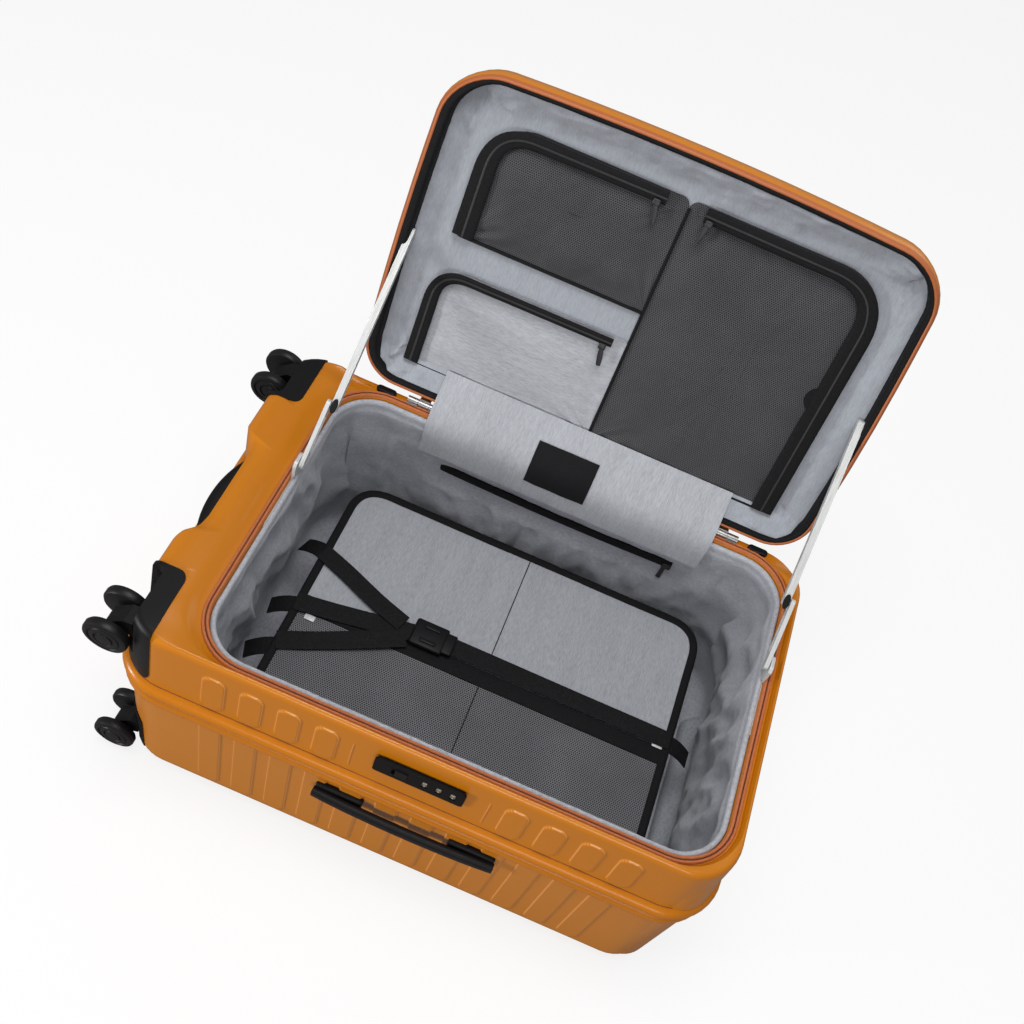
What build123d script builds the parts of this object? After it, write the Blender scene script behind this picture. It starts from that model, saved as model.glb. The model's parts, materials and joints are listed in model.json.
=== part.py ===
from build123d import *
import math
import os

os.makedirs("parts", exist_ok=True)

# A hard suitcase lying on its back: +X towards the carry end, casters at -X, lid hinged on the +Y side.
# Shells
shell_length = 700.0
shell_width = 450.0
split_height = 222.0        # top edge of the rear shell
bead_height = 12.0          # zip bead between the two body shells
bead_proud = 3.5
rim_height = 320.0          # floor of the recess around the opening
ridge_height = 10.0         # raised rim outside that recess
wall = 2.4
corner_radius = 58.0
back_edge_radius = 30.0
shoulder_radius = 12.0
rear_draft = 1.5            # degrees
front_draft = 3.5

# Opening in the front frame
opening_x = 29.0
opening_length = shell_length - 105.0
opening_width = shell_width - 44.0
opening_radius = 46.0
lip_depth = 19.7
lip_wall = 2.5
recess_margin = 11.0
recess_near_margin = 9.5
zip_tape_width = 9.0
zip_tape_height = 2.5

# Raised panels on the shell sides
panel_pitch = 43.0
panel_width = 26.0
panel_proud = 1.2
panel_sink = 0.6
panel_corner = 10.0

# Lid, drawn closed on a plane through the hinge axis and turned open with that plane
hinge_y = shell_width / 2 - 11.0
hinge_z = rim_height + 5.5
lid_open_angle = 109.5
lid_margin = 4.5            # how far the lid reaches past the opening
lid_back_gap = 6.0          # hinge axis to the lid's back wall
lid_reach = opening_width + 13.0    # hinge axis to the lid's front edge
lid_drop = 2.0              # lid rim below the hinge axis
lid_depth = 45.0
lid_corner_radius = 50.0
lid_edge_radius = 16.0
lid_draft = 4.0

# Hinges
hinge_places = (-172.0, 230.0)
bumper_places = (-222.0, 280.0)
bumper_size = (26.0, 9.0, 5.0)
knuckle_radius = 4.5
knuckle_length = 14.0
knuckle_gap = 0.4
hinge_pin_radius = 1.8
running_gap = 0.06

# Folding stays, one on each short side
stay_pivot_y = 50.0
stay_pivot_z = hinge_z + 12.5
stay_link_length = 75.0
stay_rail_offset = 13.0     # rail line above the lid's hinge plane
stay_open_reach = 200.0     # hinge axis to the arm's shoe with the lid open
stay_closed_reach = 311.6   # and with the lid closed
stay_pin_radius = 2.0
shoe_radius = 2.5
shoe_play = 4.0
ear_thickness = 4.0
link_thickness = 5.0
arm_thickness = 8.0
stay_gap = 0.8
bar_width = 9.0

# Casters
caster_y = shell_width / 2 - 31.0
caster_front_z = rim_height - 20.0
caster_rear_z = 50.0
caster_trail = 14.0
wheel_x = -shell_length / 2 - 7.0
wheel_radius = 26.0
wheel_width = 13.0
wheel_inner = 14.0          # centre line to a wheel's inner face
fork_half_width = 11.0
axle_radius = 2.5
stem_radius = 4.0
pocket_x = 24.0 - shell_length / 2  # end wall behind each caster
pocket_y = 134.0
pocket_half_height = 50.0
guard_plate = 3.5
guard_skin = 1.5
boss_height = 2.0
boss_radius = 13.0

# Handles
grip_half_length = 110.0
mount_spacing = 202.0
mount_size = (26.0, 30.0, 11.5)
tongue_size = (15.4, 23.2)
grip_height = 22.0
side_handle_x = 11.0
side_handle_z = split_height - 56.0
notch_y = (-88.0, 73.0)
notch_x = 28.0 - shell_length / 2
notch_floor = split_height + 28.0
grab_height = 26.0

# Combination lock
lock_x = 6.5
lock_z = rim_height - 35.0
lock_length = 103.0
lock_width = 30.0
dial_radius = 5.5
dial_width = 6.0
dial_pitch = 16.0
dial_places = tuple(lock_x + 6.5 + dial_pitch * i for i in range(3))
release_x = lock_x - 20.0

# Trolley handle along the back
tube_y = 82.0
tube_z = 15.5
outer_tube = (24.0, 15.0)
middle_tube = (20.8, 11.8)
inner_tube = (17.6, 8.6)
tube_wall = 1.2
tube_start = 60.0 - shell_length / 2
bezel_x = shell_length / 2 - 38.0
bezel_half = 112.0
bezel_top = 44.0
grip_recess_half = 102.0

# Soft goods
lining_low = 25.0
lining_gap = 3.6
lining_clear = 0.74         # further gap beside the sloping frame wall
lining_wall = 1.6
mouth_gap = 2.9
mouth_roll = 3.6
divider_z = 150.0
divider_thickness = 4.0
divider_hinge_y = shell_width / 2 - 35.0
divider_x = (128.0 - shell_length / 2, shell_length / 2 - 72.0)
divider_depth = shell_width - 78.0
border_width = 9.0
webbing_width = 25.0
dish_margin = 27.0          # lid rim to the padded lining
dish_floor = 22.0
pocket_depth = 10.0

frame_base = split_height + bead_height
frame_top = rim_height + ridge_height
half_length = shell_length / 2
half_width = shell_width / 2


def save(piece, name):
    """Label a piece and write it to its own STEP file."""
    piece.label = name
    export_step(piece, "parts/" + name + ".step")


def block(plane, size, radius, height, draft=0.0, center=(0.0, 0.0)):
    """A rounded rectangle drawn on a plane and extruded along its normal."""
    with BuildPart() as made:
        with BuildSketch(plane):
            with Locations(center):
                RectangleRounded(size[0], size[1], radius)
        extrude(amount=height, taper=draft)
    return made.part


def span(x, y, z, radius=0.0):
    """A box between the limits given as (low, high) pairs."""
    with BuildPart() as made:
        with Locations(((x[0] + x[1]) / 2, (y[0] + y[1]) / 2, (z[0] + z[1]) / 2)):
            Box(x[1] - x[0], y[1] - y[0], z[1] - z[0])
        if radius > 0:
            fillet(made.edges().filter_by(Axis.Z), radius)
    return made.part


def rod(plane, center, radius, length):
    """A round bar standing on a plane."""
    with BuildPart() as made:
        with BuildSketch(plane):
            with Locations(center):
                Circle(radius)
        extrude(amount=length)
    return made.part


def caster_spaces(front, skin):
    """The clear space around the casters of one row; skin shrinks the shell's core to leave a wall."""
    height = caster_front_z if front else caster_rear_z
    low = height - pocket_half_height - skin if front else -10.0
    high = frame_top + 20.0 if front else height + pocket_half_height + skin
    with BuildPart() as made:
        for side in (-1, 1):
            y = sorted((side * (pocket_y - skin), side * (half_width + 30.0)))
            add(span((-half_length - 30.0, pocket_x + skin), y, (low, high)))
    return made.part


def handle_notch(skin):
    """The recess in the wheel end that holds the bottom grab handle."""
    return span(
        (-half_length - 30.0, notch_x + skin),
        (notch_y[0] - skin, notch_y[1] + skin),
        (notch_floor - skin, frame_top + 20.0),
    )


def recess(grow):
    """The lowered surround of the opening, open towards the hinge side."""
    near = -opening_width / 2 - recess_near_margin - grow
    far = half_width + 40.0
    length = opening_length + 2 * recess_margin + 2 * grow
    center = (opening_x, (near + far) / 2)
    return block(
        Plane.XY.offset(rim_height - grow), (length, far - near), opening_radius - 2.0, 60.0, 0.0, center
    )


def side_panels(plane, places, low, high):
    """Raised panels with round ends, standing side by side on a shell face."""
    with BuildPart() as made:
        with BuildSketch(plane.offset(-panel_sink)):
            with Locations(*[(place, (low + high) / 2) for place in places]):
                RectangleRounded(panel_width, high - low, panel_corner)
        extrude(amount=panel_sink + panel_proud)
    return made.part


def face_plane(height, draft, direction):
    """A plane on a drafted shell side, at the height where that side is full size."""
    lean = math.radians(draft)
    out = Vector(direction) * math.cos(lean) + Vector(0, 0, 1) * math.sin(lean)
    reach = half_width if direction[1] else half_length
    along = Vector(0, 0, 1).cross(Vector(direction))
    return Plane(origin=Vector(direction) * reach + Vector(0, 0, height), x_dir=along, z_dir=out)


side_places = [panel_pitch * i - 230.0 for i in range(12)]
end_places = [panel_pitch * (i - 3) for i in range(7)]
near = (0, -1, 0)
far = (0, 1, 0)
carry_end = (1, 0, 0)

# ---- body shells ----
down = Plane(origin=(0, 0, split_height), x_dir=(1, 0, 0), z_dir=(0, 0, -1))
with BuildPart() as rear_solid:
    add(block(down, (shell_length, shell_width), corner_radius, split_height, rear_draft))
    fillet(rear_solid.faces().sort_by(Axis.Z)[0].edges(), back_edge_radius)
    add(caster_spaces(False, 0.0), mode=Mode.SUBTRACT)

with BuildPart() as rear_core:
    core_size = (shell_length - 2 * wall, shell_width - 2 * wall)
    add(block(down, core_size, corner_radius - wall, split_height - wall, rear_draft))
    fillet(rear_core.faces().sort_by(Axis.Z)[0].edges(), back_edge_radius - wall)
    add(caster_spaces(False, wall), mode=Mode.SUBTRACT)

bezel_space = span((bezel_x, half_length + 10.0), (-bezel_half, bezel_half), (wall + 0.6, bezel_top))

with BuildPart() as rear_shell:
    add(rear_solid.part)
    add(side_panels(face_plane(split_height, -rear_draft, near), side_places, -190.0, -16.0))
    add(side_panels(face_plane(split_height, -rear_draft, far), [-x for x in side_places], -190.0, -16.0))
    add(side_panels(face_plane(split_height, -rear_draft, carry_end), end_places, -150.0, -16.0))
    add(rear_core.part, mode=Mode.SUBTRACT)
    add(bezel_space, mode=Mode.SUBTRACT)
save(rear_shell.part, "rear_shell")

with BuildPart() as frame_solid:
    add(
        block(
            Plane.XY.offset(frame_base),
            (shell_length, shell_width),
            corner_radius,
            frame_top - frame_base,
            front_draft,
        )
    )
    fillet(frame_solid.faces().sort_by(Axis.Z)[-1].edges(), shoulder_radius)
    add(recess(0.0), mode=Mode.SUBTRACT)
    add(caster_spaces(True, 0.0), mode=Mode.SUBTRACT)
    add(handle_notch(0.0), mode=Mode.SUBTRACT)

with BuildPart() as frame_core:
    add(
        block(
            Plane.XY.offset(frame_base),
            core_size,
            corner_radius - wall,
            frame_top - frame_base - wall,
            front_draft,
        )
    )
    fillet(frame_core.faces().sort_by(Axis.Z)[-1].edges(), shoulder_radius - wall)
    add(recess(wall), mode=Mode.SUBTRACT)
    add(caster_spaces(True, wall), mode=Mode.SUBTRACT)
    add(handle_notch(wall), mode=Mode.SUBTRACT)

opening_size = (opening_length, opening_width)
lip_size = (opening_length + 2 * lip_wall, opening_width + 2 * lip_wall)
lip_bottom = rim_height - lip_depth
lean = math.tan(math.radians(front_draft))
lock_face = -(half_width - (lock_z - frame_base) * lean)      # shell surface behind the lock
lock_boss = 2.5
lock_plate = 2.5
lock_depth = 10.0

frame_wall = rim_height - frame_base     # height of the frame's sloping wall

with BuildPart() as front_frame:
    add(frame_solid.part)
    clear_places = [x for x in side_places if abs(x - lock_x) > lock_length / 2 + panel_width]
    add(side_panels(face_plane(frame_base, front_draft, near), clear_places, 8.0, frame_wall - 16.0))
    add(side_panels(face_plane(frame_base, front_draft, far), [-x for x in side_places], 8.0, frame_wall - 24.0))
    add(side_panels(face_plane(frame_base, front_draft, carry_end), end_places, 8.0, frame_wall - 24.0))
    add(
        span(
            (lock_x - lock_length / 2 - 10.0, lock_x + lock_length / 2 + 10.0),
            (lock_face - lock_boss, lock_face + 6.0),
            (lock_z - lock_width / 2 - 9.0, lock_z + lock_width / 2 + 7.0),
        )
    )
    add(frame_core.part, mode=Mode.SUBTRACT)
    add(block(Plane.XY.offset(lip_bottom), lip_size, opening_radius + lip_wall, lip_depth, 0, (opening_x, 0)))
    add(
        block(Plane.XY.offset(lip_bottom - 5), opening_size, opening_radius, 60, 0, (opening_x, 0)),
        mode=Mode.SUBTRACT,
    )
    add(
        span(
            (lock_x - lock_length / 2 + 3.0, lock_x + lock_length / 2 - 3.0),
            (lock_face - lock_boss - 5.0, lock_face + 8.0),
            (lock_z - lock_width / 2 + 3.0, lock_z + lock_width / 2 - 3.0),
        ),
        mode=Mode.SUBTRACT,
    )
save(front_frame.part, "front_frame")

with BuildPart() as expansion_bead:
    with BuildSketch(Plane.XY.offset(split_height)):
        grown = (shell_length + 2 * bead_proud, shell_width + 2 * bead_proud)
        RectangleRounded(grown[0], grown[1], corner_radius + bead_proud)
        RectangleRounded(core_size[0], core_size[1], corner_radius - wall, mode=Mode.SUBTRACT)
    extrude(amount=bead_height)
    fillet(expansion_bead.edges().filter_by(GeomType.CIRCLE).sort_by(SortBy.RADIUS)[-1:], 3.0)
save(expansion_bead.part, "expansion_bead")

with BuildPart() as body_zip_ring:
    with BuildSketch(Plane.XY.offset(rim_height)):
        with Locations((opening_x, 0)):
            tape = (opening_length + 2 * zip_tape_width, opening_width + 2 * zip_tape_width)
            RectangleRounded(tape[0], tape[1], opening_radius + zip_tape_width)
            RectangleRounded(opening_length, opening_width, opening_radius, mode=Mode.SUBTRACT)
    extrude(amount=zip_tape_height)
    hinge_reach = 1.5 * knuckle_length + 3.0
    bumper_reach = bumper_size[0] / 2 + 1.0
    notches = [(place, hinge_reach) for place in hinge_places]
    notches += [(place, bumper_reach) for place in bumper_places]
    for place, reach in notches:
        notch = span((place - reach, place + reach), (hinge_y - 6.0, hinge_y + 16.0), (rim_height - 1, rim_height + 9))
        add(notch, mode=Mode.SUBTRACT)
save(body_zip_ring.part, "body_zip_ring")

# ---- lid ----
open_lean = math.radians(lid_open_angle)
lid_plane = Plane(
    origin=(0, hinge_y, hinge_z),
    x_dir=(1, 0, 0),
    z_dir=(0, math.sin(open_lean), math.cos(open_lean)),
)
lid_length = opening_length + 2 * lid_margin
lid_width = lid_reach - lid_back_gap
lid_center = (opening_x, -(lid_reach + lid_back_gap) / 2)


def lid_block(grow, low, height, draft=0.0):
    """A rounded block that follows the lid's outline, grown or shrunk, between two depths."""
    size = (lid_length + 2 * grow, lid_width + 2 * grow)
    return block(lid_plane.offset(low), size, lid_corner_radius + grow, height, draft, lid_center)


def lid_slab(x, reach, depth, radius):
    """A flat piece on the lid: limits along the lid, from the hinge, and in depth."""
    center = ((x[0] + x[1]) / 2, -(reach[0] + reach[1]) / 2)
    size = (x[1] - x[0], reach[1] - reach[0])
    return block(lid_plane.offset(depth[0]), size, radius, depth[1] - depth[0], 0.0, center)


with BuildPart() as lid_core:
    add(lid_block(-wall, -lid_drop, lid_depth - wall, lid_draft))
    top_face = lid_core.faces().sort_by(Axis(origin=lid_plane.origin, direction=lid_plane.z_dir))[-1]
    fillet(top_face.edges(), lid_edge_radius - wall)

with BuildPart() as lid_shell:
    add(lid_block(0.0, -lid_drop, lid_depth, lid_draft))
    top_face = lid_shell.faces().sort_by(Axis(origin=lid_plane.origin, direction=lid_plane.z_dir))[-1]
    fillet(top_face.edges(), lid_edge_radius)
    with BuildSketch(lid_plane.offset(lid_depth - lid_drop - panel_sink)):
        with Locations(*[(opening_x, lid_center[1] + 62.0 * (i - 2)) for i in range(5)]):
            RectangleRounded(lid_length - 110.0, 38.0, 15.0)
    extrude(amount=panel_sink + panel_proud)
    add(lid_core.part, mode=Mode.SUBTRACT)
save(lid_shell.part, "lid_shell")

with BuildPart() as lid_gusset:
    add(lid_block(-wall - 2.0, dish_floor, 2.0))
    add(lid_block(-dish_margin, dish_floor - 1.0, 4.0), mode=Mode.SUBTRACT)
save(lid_gusset.part, "lid_gusset")

with BuildPart() as lid_lining:
    add(lid_block(-dish_margin, 2.0, dish_floor))
    add(lid_block(-dish_margin - 2.0, 1.0, dish_floor - 1.0), mode=Mode.SUBTRACT)
save(lid_lining.part, "lid_lining")

pocket_face = dish_floor - pocket_depth
pockets = {
    "mesh_pocket_small": ((-204.0, 20.0), (217.0, 360.0)),
    "mesh_pocket_large": ((36.0, 273.0), (40.0, 360.0)),
    "fabric_pocket": ((-215.0, 15.0), (40.0, 176.0)),
}
for name, (across, reach) in pockets.items():
    save(lid_slab(across, reach, (pocket_face, dish_floor - 0.2), 28.0), name)

with BuildPart() as pocket_zips:
    for across, reach in pockets.values():
        add(lid_slab(across, (reach[1] - 14.0, reach[1]), (pocket_face - 1.5, pocket_face), 6.5))
save(pocket_zips.part, "pocket_zips")

with BuildPart() as zip_pullers:
    for across, reach in pockets.values():
        end = across[1] - 12.0 if across[0] < 0 else across[0] + 22.0
        limits = (reach[1] - 36.0, reach[1] - 8.0)
        add(lid_slab((end - 4.0, end + 4.0), limits, (pocket_face - 3.5, pocket_face - 1.5), 3.5))
save(zip_pullers.part, "zip_pullers")

flap_x = (-160.0, 222.0)
save(lid_slab(flap_x, (9.0, 44.0), (0.3, 1.8), 1.0), "lid_flap")
flap_back = opening_width / 2 - mouth_gap - mouth_roll - 0.3
flap_front = flap_back - 3.0
save(span(flap_x, (flap_front, flap_back), (rim_height - 52.0, rim_height - 2.5)), "hinge_flap")
save(span((-22.0, 75.0), (flap_front - 1.4, flap_front), (rim_height - 46.0, rim_height - 4.0)), "flap_patch")

# ---- hinges ----
with BuildPart() as hinge_ears:
    for place in hinge_places:
        for side in (-1, 1):
            start = place + side * (knuckle_length + knuckle_gap) - knuckle_length / 2
            ends = (start, start + knuckle_length)
            add(span(ends, (hinge_y - 5.4, hinge_y + 5.4), (rim_height, hinge_z - 2.0)))
            add(rod(Plane.YZ.offset(start), (hinge_y, hinge_z), knuckle_radius, knuckle_length))
            add(
                rod(Plane.YZ.offset(start - 1), (hinge_y, hinge_z), hinge_pin_radius, knuckle_length + 2),
                mode=Mode.SUBTRACT,
            )
save(hinge_ears.part, "hinge_ears")

with BuildPart() as hinge_pins:
    for place in hinge_places:
        reach = 1.5 * knuckle_length + knuckle_gap
        add(rod(Plane.YZ.offset(place - reach), (hinge_y, hinge_z), hinge_pin_radius, 2 * reach))
save(hinge_pins.part, "hinge_pins")

with BuildPart() as hinge_leaves:
    for place in hinge_places:
        ends = (place - knuckle_length / 2, place + knuckle_length / 2)
        add(lid_slab(ends, (4.4, lid_back_gap), (0.0, 24.0), 0.7))
        add(lid_slab(ends, (0.5, lid_back_gap), (0.0, 4.0), 2.0))
        add(rod(Plane.YZ.offset(ends[0]), (hinge_y, hinge_z), knuckle_radius, knuckle_length))
        bore = hinge_pin_radius + running_gap
        add(
            rod(Plane.YZ.offset(ends[0] - 1), (hinge_y, hinge_z), bore, knuckle_length + 2),
            mode=Mode.SUBTRACT,
        )
save(hinge_leaves.part, "hinge_leaves")

# ---- stays ----
# With the lid open the link and the arm lie in one line from the body pivot to the shoe in the lid rail.
along = Vector(0, -math.cos(open_lean), math.sin(open_lean))
outward = Vector(0, math.sin(open_lean), math.cos(open_lean))
body_pivot = Vector(0, stay_pivot_y, stay_pivot_z)
shoe = Vector(0, hinge_y, hinge_z) + along * stay_open_reach + outward * stay_rail_offset
stay_line = (shoe - body_pivot).normalized()
stay_slope = math.degrees(math.atan2(stay_line.Z, stay_line.Y))
knee = body_pivot + stay_line * stay_link_length


def stay_plane(side, start, thickness):
    """A YZ plane at the low-X face of a layer that starts a given depth inside the opening's edge."""
    edge = opening_x + side * opening_length / 2
    outer = edge - side * start
    return Plane.YZ.offset(min(outer, outer - side * thickness))


def bar(side, start, thickness, first, last, width, holes):
    """A flat bar with round ends between two points, with a hole at each listed end."""
    middle = (first + last) * 0.5
    with BuildPart() as made:
        with BuildSketch(stay_plane(side, start, thickness)):
            with Locations((middle.Y, middle.Z)):
                SlotCenterToCenter((last - first).length, width, rotation=stay_slope)
            for point in holes:
                with Locations((point.Y, point.Z)):
                    Circle(stay_pin_radius + running_gap, mode=Mode.SUBTRACT)
        extrude(amount=thickness)
    return made.part


ear_start = 0.2
link_start = ear_start + ear_thickness + stay_gap
arm_start = link_start + link_thickness + 1.0
shoe_start = 1.0
rail_start = -2.0           # rail back, cut to the lid wall
rail_floor = 0.4
rail_mouth = 4.0
tongue_thickness = 2.4
ear_low = rim_height - 1.6
ear_high = stay_pivot_z + 8.0

with BuildPart() as stay_brackets:
    for side in (-1, 1):
        with BuildSketch(stay_plane(side, ear_start, ear_thickness)):
            with Locations((stay_pivot_y, (ear_low + ear_high) / 2)):
                RectangleRounded(24.0, ear_high - ear_low, 7.0)
        extrude(amount=ear_thickness)
        with BuildSketch(stay_plane(side, ear_start, tongue_thickness)):
            with Locations((stay_pivot_y, (lip_bottom + ear_high) / 2)):
                RectangleRounded(24.0, ear_high - lip_bottom, 7.0)
            with Locations((stay_pivot_y - 42.0, lip_bottom + 9.0)):
                RectangleRounded(84.0, 13.0, 6.0)
        extrude(amount=tongue_thickness)
        pin_length = link_start + link_thickness + 0.3 - ear_start
        add(
            rod(
                stay_plane(side, ear_start, pin_length),
                (stay_pivot_y, stay_pivot_z),
                stay_pin_radius,
                pin_length,
            )
        )
save(stay_brackets.part, "stay_brackets")

for side, label in ((-1, "left"), (1, "right")):
    with BuildPart() as stay_link:
        add(bar(side, link_start, link_thickness, body_pivot, knee, 12.0, (body_pivot, knee)))
        middle = (body_pivot + knee) * 0.5
        with BuildSketch(stay_plane(side, link_start, link_thickness)):
            with Locations((middle.Y, middle.Z)):
                SlotCenterToCenter(stay_link_length - 34.0, 4.5, rotation=stay_slope)
        extrude(amount=link_thickness, mode=Mode.SUBTRACT)
    save(stay_link.part, "stay_link_" + label)

    with BuildPart() as stay_arm:
        add(bar(side, arm_start, arm_thickness, knee, shoe, bar_width, ()))
        pin_length = arm_start + 1.0 - link_start - 0.4
        pin_plane = stay_plane(side, link_start + 0.4, pin_length)
        add(rod(pin_plane, (knee.Y, knee.Z), stay_pin_radius, pin_length))
        shoe_length = arm_start + 1.0 - shoe_start
        add(rod(stay_plane(side, shoe_start, shoe_length), (shoe.Y, shoe.Z), shoe_radius, shoe_length))
    save(stay_arm.part, "stay_arm_" + label)

    arm_middle = opening_x + side * (opening_length / 2 - arm_start - arm_thickness / 2)
    up = Vector(0, -stay_line.Z, stay_line.Y)
    seat = knee + up * (bar_width / 2) + Vector(arm_middle, 0, 0)
    with BuildPart() as knee_button:
        with BuildSketch(Plane(origin=seat, x_dir=stay_line, z_dir=up)):
            Ellipse(9.0, 3.8)
        extrude(amount=2.2)
        fillet(knee_button.faces().sort_by(Axis(origin=seat, direction=up))[-1].edges(), 0.8)
    save(knee_button.part, "knee_button_" + label)

with BuildPart() as stay_rails:
    for side in (-1, 1):
        edge = opening_x + side * opening_length / 2
        back = edge - side * rail_start
        mouth = edge - side * rail_mouth
        floor = edge - side * rail_floor
        reach = (stay_open_reach - 14.0, stay_closed_reach + 14.0)
        slot = (stay_open_reach - 5.0, stay_closed_reach + 5.0)
        play = (stay_rail_offset - shoe_radius - shoe_play, stay_rail_offset + shoe_radius + shoe_play - 1.6)
        add(lid_slab(sorted((back, mouth)), reach, (play[0] - 2.0, play[1] + 2.0), 1.0))
        add(lid_slab(sorted((floor, mouth - side)), slot, play, 0.8), mode=Mode.SUBTRACT)
    add(lid_shell.part, mode=Mode.SUBTRACT)
save(stay_rails.part, "stay_rails")

# ---- casters ----
guard_face = pocket_x - guard_plate
casters = {
    "front_near": (-1, caster_front_z, True),
    "front_far": (1, caster_front_z, True),
    "rear_near": (-1, caster_rear_z, False),
    "rear_far": (1, caster_rear_z, False),
}



def corner_guard(side, height, front):
    """A plate behind one caster with a thin skin that wraps the shell's corner."""
    size = (shell_length + 2 * guard_skin, shell_width + 2 * guard_skin)
    with BuildPart() as guard:
        if front:
            reach = frame_top + guard_skin - frame_base
            start = Plane.XY.offset(frame_base)
            add(block(start, size, corner_radius + guard_skin, reach, front_draft))
            fillet(guard.faces().sort_by(Axis.Z)[-1].edges(), shoulder_radius + guard_skin)
            zone = (frame_base + 6.0, frame_top + 10.0)
        else:
            add(block(down, size, corner_radius + guard_skin, split_height - 1.0, rear_draft))
            fillet(guard.faces().sort_by(Axis.Z)[0].edges(), back_edge_radius)
            zone = (4.0, height + pocket_half_height + 14.0)
        y_zone = sorted((side * (pocket_y - 6.0), side * (half_width + 20.0)))
        add(span((-half_length - 20.0, -half_length + 46.0), y_zone, zone), mode=Mode.INTERSECT)
        add(frame_solid.part if front else rear_solid.part, mode=Mode.SUBTRACT)
        if front:
            add(recess(0.0), mode=Mode.SUBTRACT)
        y_clear = sorted((side * (pocket_y + 0.2), side * (half_width + 30.0)))
        limit = height - pocket_half_height if front else -10.0
        z_clear = (limit + 0.2, frame_top + 30.0 if front else height + pocket_half_height - 0.2)
        add(span((-half_length - 30.0, guard_face), y_clear, z_clear), mode=Mode.SUBTRACT)
        boss_plane = Plane.YZ.offset(guard_face - boss_height)
        add(rod(boss_plane, (side * caster_y, height), boss_radius, boss_height))
        bore = stem_radius + running_gap
        add(
            rod(boss_plane, (side * caster_y, height), bore, boss_height + guard_plate),
            mode=Mode.SUBTRACT,
        )
    return guard.solids().sort_by(SortBy.VOLUME)[-1]


with BuildPart() as corner_guards:
    for side, height, front in casters.values():
        add(corner_guard(side, height, front))
save(corner_guards.part, "corner_guards")


def wheel_disc(hand, center_y, axle_z):
    """One wheel of a twin caster, with a ring groove in its outer face."""
    outer_y = center_y + hand * (wheel_inner + wheel_width)
    outer_face = Plane(origin=(wheel_x, outer_y, axle_z), x_dir=(1, 0, 0), z_dir=(0, hand, 0))
    with BuildPart() as wheel:
        add(rod(outer_face.offset(-wheel_width), (0, 0), wheel_radius, wheel_width))
        fillet(wheel.edges(), 3.5)
        with BuildSketch(outer_face.offset(-2.0)):
            Circle(18.0)
            Circle(12.0, mode=Mode.SUBTRACT)
        extrude(amount=3.0, mode=Mode.SUBTRACT)
        add(rod(outer_face.offset(-wheel_width - 1.0), (0, 0), axle_radius, 4.0), mode=Mode.SUBTRACT)
    return wheel.part


fork_face = guard_face - boss_height - 0.5
for name, (side, height, front) in casters.items():
    center_y = side * caster_y
    axle_z = height - caster_trail
    profile = Plane(origin=(0, center_y, 0), x_dir=(1, 0, 0), z_dir=(0, -1, 0))
    with BuildPart() as fork:
        with BuildSketch(profile):
            with Locations((fork_face - 5.0, height)):
                Rectangle(10.0, 2 * (boss_radius - 1.0))
            with Locations((wheel_x, axle_z)):
                Circle(9.0)
            make_hull()
        extrude(amount=fork_half_width, both=True)
        with Locations((fork_face + (pocket_x - 0.4 - fork_face) / 2 - 0.5, center_y, height)):
            Cylinder(stem_radius, pocket_x - 0.4 - fork_face + 1.0, rotation=(0, 90, 0))
        with Locations((wheel_x, center_y, axle_z)):
            Cylinder(axle_radius + running_gap, 3 * fork_half_width, rotation=(90, 0, 0), mode=Mode.SUBTRACT)
    save(fork.part, "caster_fork_" + name)

    with BuildPart() as wheels:
        for hand in (-1, 1):
            add(wheel_disc(hand, center_y, axle_z))
        with Locations((wheel_x, center_y, axle_z)):
            Cylinder(axle_radius, 2 * (wheel_inner + 3.0), rotation=(90, 0, 0))
    save(wheels.part, "caster_wheels_" + name)

# ---- carry handles ----
rear_lean = math.tan(math.radians(rear_draft))
handle_inset = (split_height - side_handle_z) * rear_lean
handle_planes = {
    "side_handle": Plane(
        origin=(side_handle_x, -half_width + handle_inset, side_handle_z),
        x_dir=(1, 0, 0),
        z_dir=(0, -1, 0),
    ),
    "top_handle": Plane(
        origin=(half_length - handle_inset, 0, side_handle_z), x_dir=(0, 1, 0), z_dir=(1, 0, 0)
    ),
}

with BuildPart() as handle_mounts:
    for plane in handle_planes.values():
        for side in (-1, 1):
            with BuildSketch(plane.offset(-1.0)):
                with Locations((side * mount_spacing / 2, 0)):
                    RectangleRounded(mount_size[0], mount_size[1], 6.0)
                    Rectangle(tongue_size[0] + 0.6, tongue_size[1] + 0.6, mode=Mode.SUBTRACT)
            extrude(amount=mount_size[2] + 1.0)
    add(rear_shell.part, mode=Mode.SUBTRACT)
save(handle_mounts.part, "handle_mounts")

grip_seat = mount_size[2] + 0.4
grip_end = 5.0              # thickness of the grip over its mounts
for name, plane in handle_planes.items():
    side_on = Plane(origin=plane.origin, x_dir=plane.x_dir, z_dir=-plane.y_dir)
    with BuildPart() as grip:
        with BuildSketch(side_on):
            with BuildLine():
                end = grip_half_length
                root = grip_half_length - 18.0
                Polyline((-root, grip_seat), (-end, grip_seat), (-end, grip_seat + grip_end))
                tip = grip_seat + grip_end
                ThreePointArc((-end, tip), (0, tip + 10.0), (end, tip))
                Polyline((end, grip_seat + grip_end), (end, grip_seat), (root, grip_seat))
                ThreePointArc((root, grip_seat), (0, grip_seat + 7.0), (-root, grip_seat))
            make_face()
        extrude(amount=grip_height / 2, both=True)
        outward = Axis(origin=plane.origin, direction=plane.z_dir)
        fillet(grip.faces().sort_by(outward)[-1].edges(), 2.0)
        for side in (-1, 1):
            with BuildSketch(plane.offset(panel_proud + 0.5)):
                with Locations((side * mount_spacing / 2, 0)):
                    Rectangle(tongue_size[0] - 3.0, tongue_size[1] - 4.0)
            extrude(amount=grip_seat - panel_proud + 1.5)
    save(grip.part, name)

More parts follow.
